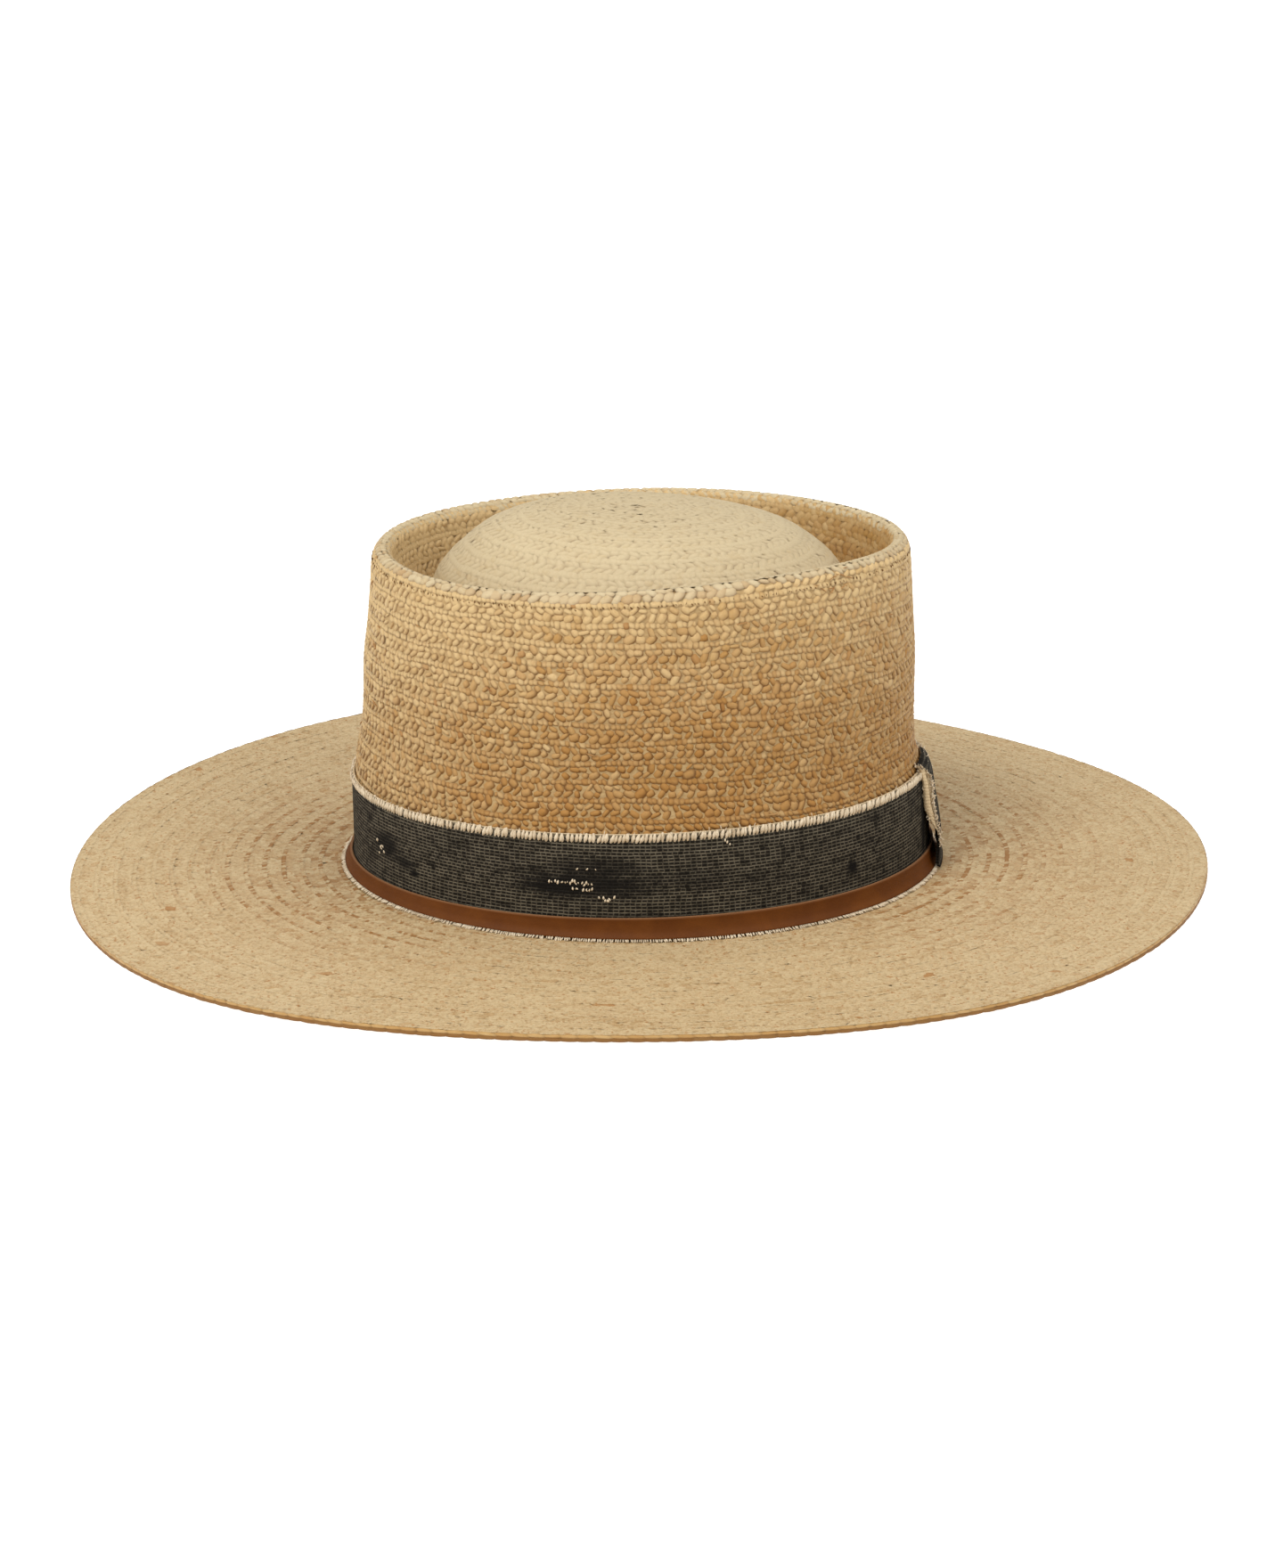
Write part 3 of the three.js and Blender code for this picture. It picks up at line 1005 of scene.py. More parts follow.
        # Painted shade, darker towards each strand's lower edge.
        under = np.clip(0.5 + v, 0, 1) ** 1.5
        share = self.row_share(place, angle)
        step = np.clip(share / 0.06, 0, 1)
        row = self.row_relief * (share - 1.0) * step
        plump = (track.relief * self.relief * rng.normal(1.0, 0.2, count)).reshape(each)
        height = plump * (pillow - 1.0 + 0.34 * u + 0.2 * v) + row + self.sink
        points = self.form.raised(place + self.drift(place, angle), angle, height, self.side).reshape(-1, 3)
        cell = grid_faces(*grid)
        faces = (cell[None] + np.arange(count)[:, None, None] * grid[0] * grid[1]).reshape(-1, 4)
        if self.side is Side.INNER:
            faces = faces[:, ::-1]
        uv = np.stack(np.broadcast_arrays(u * length / self.MM_PER_UV, v * breadth / self.MM_PER_UV), axis=-1)
        uv = uv + rng.uniform(0, 40, (count, 1, 1, 2))
        turns = winding / TURN * 24.0 + distance * 0.6
        slow = np.interp(np.mod(turns, 4000), np.arange(4001), rng.normal(0, 1, 4001))
        tone = self.tone + track.tone + self.spread * (0.7 * rng.normal(0, 1, count) + 0.55 * slow)
        part = np.clip((distance - self.start) / max(self.stop - self.start, 1e-6), 0, 1) ** self.onset
        # Painted light and shade on the left and the right side of the hat, by bleached.
        left = np.clip(-np.sin(winding), 0, 1) ** 2
        right = np.clip(np.sin(winding), 0, 1) ** 2
        painted_side_tone = self.painted_side_light[0] * left + self.painted_side_light[1] * right
        # fade is painted shade, tone lost towards the layer's stop.
        tone = tone - self.painted_shade_drop * part + painted_side_tone
        warm = self.warmth[0] + (self.warmth[1] - self.warmth[0]) * part
        warm = warm + rng.normal(0, 0.1, count) + 0.06 * slow
        warm = warm - 0.5 * track.tone - 0.9 * painted_side_tone
        fleck = (rng.random(count) < self.flecks) * rng.uniform(0.3, 1.0, count)
        # Painted shade in the gaps between strands, under each strand and at each row's step, weaker at the
        # layer's start by calm.
        shade = self.painted_shade_strength * min(1.0, 0.1 + track.relief) * (1.0 - self.painted_shade_easing * (1.0 - part)).reshape(each)
        painted_shade_and_stain = 1.0 - shade * (0.58 * under + 0.7 * (1.0 - np.clip(pillow * (0.7 + 0.3 * step), 0, 1)) ** 1.3)
        near = np.exp(-(((distance - self.start) / self.ring_reach) ** 2)) * np.sin(winding) ** 2
        ring = np.clip(self.ring_depth * track.ring * near * (rng.normal(0.5, 0.8, count) + 0.4 * slow), 0, 1)
        fleck = np.maximum(fleck, ring)
        # A track's shade adds painted shade, and the ring stain darkens too.
        painted_shade_and_stain = painted_shade_and_stain * (1.0 - track.shade - 0.3 * ring).reshape(each)
        tone, warm = np.clip(tone, 0, 1).reshape(each), np.clip(warm, 0, 1).reshape(each)
        channels = (tone, painted_shade_and_stain, warm, fleck.reshape(each))
        colour = np.stack([np.broadcast_to(channel, full) for channel in channels], axis=-1)
        return points, uv.reshape(-1, 2), colour.reshape(-1, 4), faces

    def build(self, material: bpy.types.Material) -> bpy.types.Object:
        """Makes the layer.

        Args:
            material: the strands' finish.

        Returns:
            The layer as one mesh.
        """
        rng = np.random.default_rng(self.seed)
        made = [self.strands(track, rng) for track in self.tracks]
        first = np.concatenate([[0], np.cumsum([len(part[0]) for part in made])])
        points, uv, colour = (np.concatenate([part[k] for part in made]) for k in range(3))
        faces = np.concatenate([part[3] + start for part, start in zip(made, first)])
        layer = mesh_object(self.name, points, faces, material, ("strand", uv), ("straw", colour))
        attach(layer, BODY)
        log.info("%s: %d faces", self.name, len(faces))
        return layer


# Ribbon, threads and leather


@dataclass
class Band:
    """A strip laid round the crown, with rounded edges."""

    form: HatForm
    name: str
    outside: float
    thickness: float
    steps: int = 240
    rows: int = 15
    join: float = 84.0

    def section(self, foot: Array, top: Array) -> Array:
        """Heights of the strip's rows between its foot and its top, closer near both."""
        share = (1 - np.cos(np.linspace(0, math.pi, self.rows))) / 2
        share = 0.5 * share + 0.5 * np.linspace(0, 1, self.rows)
        return foot[None, :] + (top - foot)[None, :] * share[:, None]

    def build(
        self,
        foot: float,
        top: Callable[[Array], Array],
        material: bpy.types.Material,
        uv_name: str,
        attribute: str,
        edge: float,
    ) -> bpy.types.Object:
        """Makes the strip.

        Args:
            foot: height of its foot.
            top: height of its top at each angle.
            material: its finish.
            uv_name: the UV map, in millimetres along and up.
            attribute: the colour attribute whose red marks the cut edges.
            edge: how much the cut edge shows on the face's top row.

        Returns:
            The strip.
        """
        angle = math.radians(self.join) + np.arange(self.steps) * TURN / self.steps
        heights = self.section(np.full_like(angle, foot), top(angle))
        outer, inner = (
            self.form.beside_wall(heights, np.full(heights.shape, outside), angle[None, :])
            for outside in (self.outside + self.thickness, self.outside)
        )
        lip = (outer[-1] + inner[-1]) / 2 + np.array([0.0, 0.0, 0.25 * self.thickness])
        hem = (outer[0] + inner[0]) / 2 - np.array([0.0, 0.0, 0.2 * self.thickness])
        rings = np.concatenate([outer, lip[None], inner[::-1], hem[None]])
        ring = outer[self.rows // 2]
        run = running_length(np.concatenate([ring, ring[:1]]))
        up = np.concatenate([heights, heights[-1:] + 0.2, heights[::-1], heights[:1] - 0.2])
        columns = self.steps + 1
        rings = np.concatenate([rings, rings[:, :1]], axis=1)
        up = np.concatenate([up, up[:, :1]], axis=1)
        uv = np.stack(np.broadcast_arrays(run[None, :], up), axis=-1).reshape(-1, 2)
        mark = np.zeros_like(up)
        mark[self.rows - 1 : self.rows + 2] = np.array([edge, 1.0, 1.0])[:, None]
        colour = np.stack([mark, mark, mark, np.ones_like(mark)], axis=-1).reshape(-1, 4)
        faces = grid_faces(len(rings), columns, True, False)[:, ::-1]
        points = rings.reshape(-1, 3)
        return mesh_object(self.name, points, faces, material, (uv_name, uv), (attribute, colour))


@dataclass
class ThreadTree:
    """Geometry Nodes that stand one thread on each point of a carrier, along the point's own direction."""

    name: str = "threads_on_points"
    group: Optional[bpy.types.GeometryNodeTree] = None
    sockets: dict[str, str] = field(default_factory=dict)

    def make(self) -> "ThreadTree":
        """Builds the tree with its named inputs.

        Returns:
            This object.
        """
        tree = bpy.data.node_groups.new(self.name, "GeometryNodeTree")
        self.group = tree
        tree.interface.new_socket("Geometry", in_out="OUTPUT", socket_type="NodeSocketGeometry")
        tree.interface.new_socket("Geometry", in_out="INPUT", socket_type="NodeSocketGeometry")
        wanted = (
            ("Length", "NodeSocketFloat"), ("Thickness", "NodeSocketFloat"), ("Bend", "NodeSocketFloat"),
            ("Unevenness", "NodeSocketFloat"), ("Tilt", "NodeSocketFloat"), ("Seed", "NodeSocketInt"),
            ("Material", "NodeSocketMaterial"),
        )
        for label, kind in wanted:
            made = tree.interface.new_socket(label, in_out="INPUT", socket_type=kind)
            self.sockets[label] = made.identifier
        self._wire(tree)
        return self

    def _wire(self, tree: bpy.types.GeometryNodeTree) -> None:
        """Adds and links the tree's nodes."""

        def add(kind: str, inputs: Mapping[Union[str, int], Any], **settings: Any) -> Any:
            """Adds one node with its settings and inputs.

            Args:
                kind: the node's type.
                inputs: a value, or a socket to link, by input name or number.
                settings: its properties.

            Returns:
                The node's outputs.
            """
            made = tree.nodes.new(kind)
            for key, value in settings.items():
                setattr(made, key, value)
            for key, value in inputs.items():
                if isinstance(value, bpy.types.NodeSocket):
                    tree.links.new(value, made.inputs[key])
                else:
                    made.inputs[key].default_value = value
            return made.outputs

        def maths(operation: str, *values: Any) -> bpy.types.NodeSocket:
            """Adds a Math node and gives its value."""
            return add("ShaderNodeMath", dict(enumerate(values)), operation=operation)[0]

        given = add("NodeGroupInput", {})
        points = add("GeometryNodeMeshToPoints", {"Mesh": given["Geometry"]})
        bend = add("ShaderNodeCombineXYZ", {"X": given["Bend"], "Z": maths("MULTIPLY", given["Length"], 0.5)})
        tip = add("ShaderNodeCombineXYZ", {"Z": given["Length"]})
        arc = {"Resolution": 4, "Start": (0.0, 0.0, 0.0), "Middle": bend[0], "End": tip[0]}
        curve = add("GeometryNodeCurveQuadraticBezier", arc)
        arch = maths("PINGPONG", add("GeometryNodeSplineParameter", {})["Factor"], 0.5)
        thickness = maths("MULTIPLY", maths("MULTIPLY_ADD", arch, 1.1, 0.45), given["Thickness"])
        radius = add("GeometryNodeSetCurveRadius", {"Curve": curve["Curve"], "Radius": thickness})
        circle = add("GeometryNodeCurvePrimitiveCircle", {"Resolution": 5, "Radius": 1.0})
        swept = {"Curve": radius["Curve"], "Profile Curve": circle["Curve"], "Fill Caps": True}
        thread = add("GeometryNodeCurveToMesh", {**swept, "Scale": thickness})
        smooth = add("GeometryNodeSetShadeSmooth", {"Geometry": thread["Mesh"]})
        stand = add("GeometryNodeInputNamedAttribute", {"Name": "stand"}, data_type="FLOAT_VECTOR")
        align = add("FunctionNodeAlignRotationToVector", {"Vector": stand["Attribute"]}, axis="Z")
        reach = {0: maths("MULTIPLY", given["Tilt"], -1.0), 1: given["Tilt"], "Seed": given["Seed"]}
        sway = add("FunctionNodeRandomValue", reach, data_type="FLOAT_VECTOR")
        turn = add("FunctionNodeEulerToRotation", {0: sway[0]})
        rotate = add("FunctionNodeRotateRotation", {0: align[0], 1: turn[0]}, rotation_space="LOCAL")
        low, high = (maths(operation, 1.0, given["Unevenness"]) for operation in ("SUBTRACT", "ADD"))
        size = add("FunctionNodeRandomValue", {2: low, 3: high, "Seed": given["Seed"]}, data_type="FLOAT")
        laid = {"Points": points["Points"], "Instance": smooth["Geometry"]}
        put = add("GeometryNodeInstanceOnPoints", {**laid, "Rotation": rotate[0], "Scale": size[1]})
        real = add("GeometryNodeRealizeInstances", {"Geometry": put["Instances"]})
        worn = {"Geometry": real["Geometry"], "Material": given["Material"]}
        dress = add("GeometryNodeSetMaterial", worn)
        add("NodeGroupOutput", {"Geometry": dress["Geometry"]})

    def grow(
        self,
        name: str,
        points: Array,
        stand: Array,
        material: bpy.types.Material,
        sizes: Mapping[str, float],
        seed: int,
    ) -> bpy.types.Object:
        """Stands threads on points and makes them one plain mesh.

        Args:
            name: the piece's name.
            points: the threads' roots, in millimetres.
            stand: the direction each thread stands in.
            material: the threads' finish.
            sizes: length, thickness and bend in millimetres, and the unevenness and tilt.
            seed: seed of the unevenness.

        Returns:
            The threads.
        """
        mesh = bpy.data.meshes.new(name + "_roots")
        mesh.vertices.add(len(points))
        mesh.vertices.foreach_set("co", (points * MM).astype(np.float32).ravel())
        layer = mesh.attributes.new("stand", "FLOAT_VECTOR", "POINT")
        layer.data.foreach_set("vector", stand.astype(np.float32).ravel())
        carrier = bpy.data.objects.new(name + "_roots", mesh)
        bpy.context.scene.collection.objects.link(carrier)
        modifier = carrier.modifiers.new("threads", "NODES")
        modifier.node_group = self.group
        for label in ("Length", "Thickness", "Bend"):
            modifier[self.sockets[label]] = sizes[label] * MM
        for label in ("Unevenness", "Tilt"):
            modifier[self.sockets[label]] = sizes[label]
        modifier[self.sockets["Seed"]] = seed
        modifier[self.sockets["Material"]] = material
        bpy.context.view_layer.update()
        depsgraph = bpy.context.evaluated_depsgraph_get()
        made_mesh = bpy.data.meshes.new_from_object(carrier.evaluated_get(depsgraph))
        bpy.data.objects.remove(carrier)
        made = bpy.data.objects.new(name, made_mesh)
        if not made_mesh.materials:
            made_mesh.materials.append(material)
        bpy.context.scene.collection.objects.link(made)
        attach(made, BODY)
        log.info("%s: %d threads, %d faces", name, len(points), len(made_mesh.polygons))
        return made


@dataclass
class Ribbon:
    """The woven ribbon with its frayed edges, worn places and a painted shadow beside the keeper."""

    form: HatForm
    threads: ThreadTree
    height: float = 32.6
    foot: float = 0.9
    clearance: float = 0.4
    thickness: float = 1.0
    fray: float = 2.9
    rib_pitch: float = 1.38
    join: float = 84.0

    def top(self, angle: Array) -> Array:
        """Height of the frayed top edge."""
        return self.foot + self.height + wave_height((self.form.ribbon_wave,), angle)

    def surface(self, angle: Array, height: Array, outside: float = 0.0) -> Array:
        """Points on or outside the ribbon's face."""
        reach = np.full(np.shape(height), self.clearance + self.thickness + outside)
        return self.form.beside_wall(height, reach, angle)

    def along(self, degrees: float) -> float:
        """Millimetres along the ribbon at an angle, from its join under the keeper."""
        angle = math.radians(self.join) + np.linspace(0, math.radians((degrees - self.join) % 360.0), 400)
        ring = self.surface(angle, np.full(400, self.height / 2))
        return float(np.linalg.norm(np.diff(ring, axis=0), axis=1).sum())

    def wear_and_shade_places(self) -> tuple[WearAndShadePlace, ...]:
        """The smudges, the pinhole and a painted shadow beside the keeper, as places along and up the ribbon.
        """
        spots = (
            (-13.5, 18.0, 26.0, 5.6, 0.9), (-12.0, 24.0, 20.0, 3.6, 0.7), (-20.0, 16.6, 14.0, 3.4, 0.9),
            (6.0, 20.0, 20.0, 3.4, 0.35), (-62.5, 18.5, 9.0, 5.4, 0.9), (-56.0, 15.0, 6.5, 2.8, 0.8),
            (-53.0, 12.6, 2.6, 1.6, 1.0), (41.2, 15.1, 3.0, 2.6, 1.0), (20.0, 17.0, 22.0, 3.0, 0.2),
            # Painted shadow on the ribbon beside the keeper's near edge.
            (71.6, 18.0, 3.4, 17.0, 0.95),
        )
        return tuple(WearAndShadePlace(self.along(degrees), *place) for degrees, *place in spots)

    def build(self, cloth: bpy.types.Material, thread: bpy.types.Material) -> bpy.types.Object:
        """Makes the ribbon and its threads.

        Args:
            cloth: the weave's finish.
            thread: the frayed threads' finish.

        Returns:
            The ribbon.
        """
        band = Band(self.form, "ribbon_cloth", self.clearance, self.thickness, 240, 17)
        ribbon = band.build(self.foot, self._cloth_top, cloth, "cloth", "cloth_edge", 0.2)
        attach(ribbon, BODY)
        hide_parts("hatband")
        makers = (self._overcast, self._loose_fray, self._foot_fringe, self._pulled_threads)
        pieces = [make(thread) for make in makers]
        girth = self.along(self.join - 0.001)
        return ribbon

    def _cloth_top(self, angle: Array) -> Array:
        """Height of the cloth's top, which the overcast threads stand past."""
        return self.top(angle) - 0.5

    def _ring(self, pitch: float, rng: np.random.Generator, jitter: float) -> Array:
        """Angles at even steps along the ribbon, with a little jitter."""
        angle = np.linspace(0, TURN, 2000)
        ring = self.surface(angle, np.full(2000, self.height))
        run = running_length(ring)
        count = int(run[-1] / pitch)
        return np.interp((np.arange(count) + rng.normal(0, jitter, count)) * run[-1] / count, run, angle)

    def _stand(self, angle: Array, lean: float | Array, out: float) -> Array:
        """Directions that stand up, lean along the ribbon and tip outwards."""
        around = np.stack([-np.sin(angle), np.cos(angle), np.zeros_like(angle)], axis=-1)
        outward = np.stack([np.cos(angle), np.sin(angle), np.zeros_like(angle)], axis=-1)
        return np.array([0.0, 0.0, 1.0]) + around * lean + outward * out

    def _overcast(self, thread: bpy.types.Material) -> bpy.types.Object:
        """Short ribs of weft side by side along the top edge."""
        rng = np.random.default_rng(11)
        angle = self._ring(self.rib_pitch, rng, 0.12)
        drop = self.fray + rng.normal(0, 0.08, len(angle))
        points = self.surface(angle, self.top(angle) - drop, -0.25)
        sizes = {"Length": self.fray, "Thickness": 0.72, "Bend": 0.5, "Unevenness": 0.1, "Tilt": 0.2}
        return self.threads.grow("ribbon_top_fray", points, self._stand(angle, 0.2, 0.03), thread, sizes, 5)

    def _loose_fray(self, thread: bpy.types.Material) -> bpy.types.Object:
        """Fine loose fibres standing off the top edge."""
        rng = np.random.default_rng(17)
        angle = self._ring(1.5, rng, 0.4)
        drop = rng.uniform(0.1, self.fray - 0.6, len(angle))
        points = self.surface(angle, self.top(angle) - drop, 0.1)
        sizes = {"Length": 1.2, "Thickness": 0.1, "Bend": 0.4, "Unevenness": 0.6, "Tilt": 0.8}
        stand = self._stand(angle, 0.1, 0.25)
        return self.threads.grow("ribbon_loose_fibres", points, stand, thread, sizes, 7)

    def _foot_fringe(self, thread: bpy.types.Material) -> bpy.types.Object:
        """Short cream fringe that shows below the leather and lies on the brim."""
        rng = np.random.default_rng(23)
        angle = self._ring(0.6, rng, 0.25)
        points = self.form.beside_wall(np.full(len(angle), 0.85), np.full(len(angle), 2.75), angle)
        outward = np.stack([np.cos(angle), np.sin(angle), np.full(len(angle), -0.4)], axis=-1)
        sizes = {"Length": 1.4, "Thickness": 0.28, "Bend": 0.1, "Unevenness": 0.2, "Tilt": 0.25}
        return self.threads.grow("ribbon_foot_fringe", points, outward, thread, sizes, 9)

    def _pulled_threads(self, thread: bpy.types.Material) -> bpy.types.Object:
        """Cream threads laid bare in the worn places, and one thread hanging from the top edge."""
        rng = np.random.default_rng(31)
        rows = (
            (-20.9, -12.6, 18.0, 0.3, 20), (-16.6, -12.6, 16.2, 0.35, 8), (-11.4, -8.8, 12.8, 0.7, 7),
            (-15.5, -12.0, 22.9, 0.2, 3), (-66.5, -63.4, 16.4, 1.1, 8),
        )
        degrees = np.concatenate([np.linspace(low, high, count) for low, high, _, _, count in rows])
        height = np.concatenate([rng.normal(middle, reach, count) for _, _, middle, reach, count in rows])
        angle = np.radians(degrees + rng.normal(0, 0.16, len(degrees)))
        points = self.surface(angle, height, 0.02)
        stand = self._stand(angle, rng.normal(0.0, 0.35, len(angle))[:, None], 0.1)
        tick = np.radians([13.0, 13.4, 13.8])
        points = np.concatenate([points, self.surface(tick, np.array([32.4, 31.6, 30.8]), 0.05)])
        stand = np.concatenate([stand, np.tile([[0.05, 0.1, -1.0]], (3, 1))])
        sizes = {"Length": 0.95, "Thickness": 0.32, "Bend": 0.2, "Unevenness": 0.35, "Tilt": 0.3}
        return self.threads.grow("ribbon_bared_threads", points, stand, thread, sizes, 13)


@dataclass
class LeatherStrip:
    """The narrow leather strip over the ribbon's foot."""

    form: HatForm
    foot: float = 0.8
    top_height: float = 5.4
    clearance: float = 1.7
    thickness: float = 1.0

    def top(self, angle: Array) -> Array:
        """Height of the strip's top, slanted with the ribbon on the side nearer +X."""
        slant = self.form.ribbon_wave
        return self.top_height + slant.across * np.maximum(np.cos(angle), 0) + slant.along * np.sin(angle)

    def build(self, material: bpy.types.Material) -> bpy.types.Object:
        """Makes the strip, which stands for its plain solid.

        Args:
            material: the leather's finish.

        Returns:
            The strip.
        """
        band = Band(self.form, "leather_strip", self.clearance, self.thickness, 240, 9)
        strip = band.build(self.foot, self.top, material, "cloth", "leather_edge", 0.25)
        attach(strip, BODY)
        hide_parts("leather_trim")
        return strip


@dataclass
class Keeper:
    """The ribbon keeper at the back: a strap over the ribbon, its tan near edge turned in and frayed."""

    form: HatForm
    threads: ThreadTree
    width: float = 24.0
    middle: float = 81.2
    thickness: float = 1.0
    top: float = 36.4
    slant: float = 3.2
    foot: float = 1.4
    ease: float = 2.0
    rows: tuple[tuple[float, float, float], ...] = (
        (0.0, 3.4, 4.2), (0.11, 4.0, 5.1), (0.33, 4.0, 6.0), (0.46, 3.6, 4.8), (0.62, 2.9, 3.9),
        (0.8, 2.3, 3.9), (0.92, 2.0, 3.8), (0.97, 1.7, 2.8), (0.99, 1.2, 1.4), (0.985, 0.45, 0.45),
    )
    hollow_top: float = 13.0
    turned_foot: float = 13.5
    turned_full: float = 22.5
    turned_inside: float = 1.5
    turned_curl: float = 0.7
    turned_thickness: float = 0.45
    steps: int = 40
    smooth_rows: int = 56

    @staticmethod
    def wear_and_shade_places() -> tuple[WearAndShadePlace, ...]:
        """Dark places of the strap: its fold at the top, and painted shade at its foot."""
        return WearAndShadePlace(3.0, 40.0, 14.0, 7.0, 0.7), WearAndShadePlace(0.0, 7.0, 9.0, 8.0, 0.95)

    def near_angle(self) -> float:
        """Angle of the near edge."""
        return math.radians(self.middle) - math.asin(self.width / self.form.crown[1])

    def faces_at(self, share: Array) -> tuple[Array, Array, Array, Array]:
        """The strap's inner and outer faces.

        Args:
            share: places across the strap, 0 at the near edge.

        Returns:
            Inner points, outer points, the run along the strap and the angles.
        """
        angle = self.near_angle() + 2 * (math.radians(self.middle) - self.near_angle()) * share
        loose = (1 - share) ** self.ease
        table = np.array(self.rows)
        steps = np.hypot(np.diff(table[:, 0]) * self.top, np.diff(table[:, 1]))
        knots = np.concatenate([[0.0], np.cumsum(steps)])
        at = np.linspace(0, knots[-1], self.smooth_rows)
        soft = np.array([0.25, 0.5, 0.25])
        rows = np.stack([np.interp(at, knots, table[:, k]) for k in range(3)])
        for _ in range(3):
            rows[:, 1:-1] = rows[:, :-2] * soft[0] + rows[:, 1:-1] * soft[1] + rows[:, 2:] * soft[2]
        up, held, slack = rows
        outside = held[:, None] + (slack - held)[:, None] * loose[None, :]
        top = self.top + self.slant * np.cos(angle) - self.thickness
        height = self.foot + (top[None, :] - self.foot) * up[:, None]
        run, rise = np.gradient(outside, axis=0), np.gradient(height, axis=0)
        size = np.hypot(run, rise)
        inner = self.form.beside_wall(height, outside, angle[None, :])
        outer = self.form.beside_wall(
            height - run / size * self.thickness, outside + rise / size * self.thickness, angle[None, :]
        )
        return inner, outer, at, angle

    def build(self, cloth: bpy.types.Material, thread: bpy.types.Material) -> bpy.types.Object:
        """Makes the keeper, its turned edge and its frayed threads.

        Args:
            cloth: the weave's finish.
            thread: the frayed threads' finish.

        Returns:
            The keeper.
        """
        share = np.linspace(0, 1, self.steps) ** 1.3
        inner, outer, at, _ = self.faces_at(share)
        rings = np.concatenate([outer, inner[::-1]])
        count = len(rings)
        across = self.width * share
        length = np.concatenate([at, at[::-1]])
        uv = np.stack(np.broadcast_arrays(across[None, :], length[:, None]), axis=-1)
        tan = np.clip(1.0 - across / 0.5, 0, 1)[None, :] * np.ones((count, 1))
        tan[self.smooth_rows :] = 1.0
        # Painted shade: below hollow_top the near edge and the inside keep the dark weave, not tan, for the
        # dark hollow under the keeper.
        tan[rings[:, 0, 2] - self.form.centre[2] < self.hollow_top] = 0.0
        colour = np.stack([tan, tan, tan, np.ones_like(tan)], axis=-1)
        faces = [grid_faces(count, self.steps, True, False)]
        for column, flip in ((0, False), (self.steps - 1, True)):
            row = np.arange(self.smooth_rows - 1)
            far = count - 1 - row
            cap = np.stack([row, row + 1, far - 1, far], axis=-1) * self.steps + column
            faces.append(cap if not flip else cap[:, ::-1])
        keeper = mesh_object(
            "keeper_cloth",
            rings.reshape(-1, 3),
            np.concatenate(faces),
            cloth,
            ("cloth", uv.reshape(-1, 2)),
            ("cloth_edge", colour.reshape(-1, 4)),
        )
        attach(keeper, BODY)
        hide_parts("band_keeper")
        turned = self._turned_edge(cloth)
        fray = self._fray(inner, outer, thread)
        return keeper

    def _turned_edge(self, cloth: bpy.types.Material) -> bpy.types.Object:
        """The tan inside of the near edge, turned in towards the ribbon and tapering to its foot."""
        rows, columns = 30, 9
        inner, _, _, angle = self.faces_at(np.array([0.0, 0.02]))
        edge_height = inner[:, 0, 2] - self.form.centre[2]
        wall_length = self.form.wall(edge_height)[0]
        edge_outside = (inner[:, 0, 1] - self.form.centre[1]) / math.sin(angle[0]) - wall_length
        top = self.top + self.slant * math.cos(angle[0]) - 1.6
        height = np.linspace(self.turned_foot, top, rows)
        rising = np.argsort(edge_height[: self.smooth_rows - 8])
        start = np.interp(height, edge_height[rising], edge_outside[rising]) + 0.6
        share = np.clip((height - self.turned_foot) / (self.turned_full - self.turned_foot), 0.02, 1) ** 0.8
        end = start + (self.turned_inside - start) * share
        across = np.linspace(0, 1, columns)
        outside = start[:, None] + (end - start)[:, None] * across[None, :]
        curl = self.turned_curl * np.sin(math.pi * across) ** 0.8 * share[:, None]
        drop = 1.2 * across[None, :] ** 2 * (1 - share)[:, None]
        faces = []
        for lift in (self.turned_thickness, 0.0):
            turn = angle[0] - (curl + lift + 0.15) / self.form.crown[1] * 2
            faces.append(self.form.beside_wall(height[:, None] + drop, outside, turn))
        grid = np.concatenate([faces[0], faces[1][:, ::-1]], axis=1)
        total = grid.shape[1]
        there_and_back = np.concatenate([across, across[::-1]])[None, :] * 3.5
        uv = np.stack(np.broadcast_arrays(there_and_back, height[:, None]), axis=-1)
        colour = np.ones((rows, total, 4))
        quads = [grid_faces(rows, total, False, True)]
        for row, flip in ((0, False), (rows - 1, True)):
            column = np.arange(columns - 1)
            far = total - 1 - column
            cap = np.stack([column, column + 1, far - 1, far], axis=-1) + row * total
            quads.append(cap if flip else cap[:, ::-1])
        made = mesh_object(
            "keeper_turned_edge",
            grid.reshape(-1, 3),
            np.concatenate(quads),
            cloth,
            ("cloth", uv.reshape(-1, 2)),
            ("cloth_edge", colour.reshape(-1, 4)),
        )
        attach(made, BODY)
        self.turned_line = faces[0][:, -1]
        return made

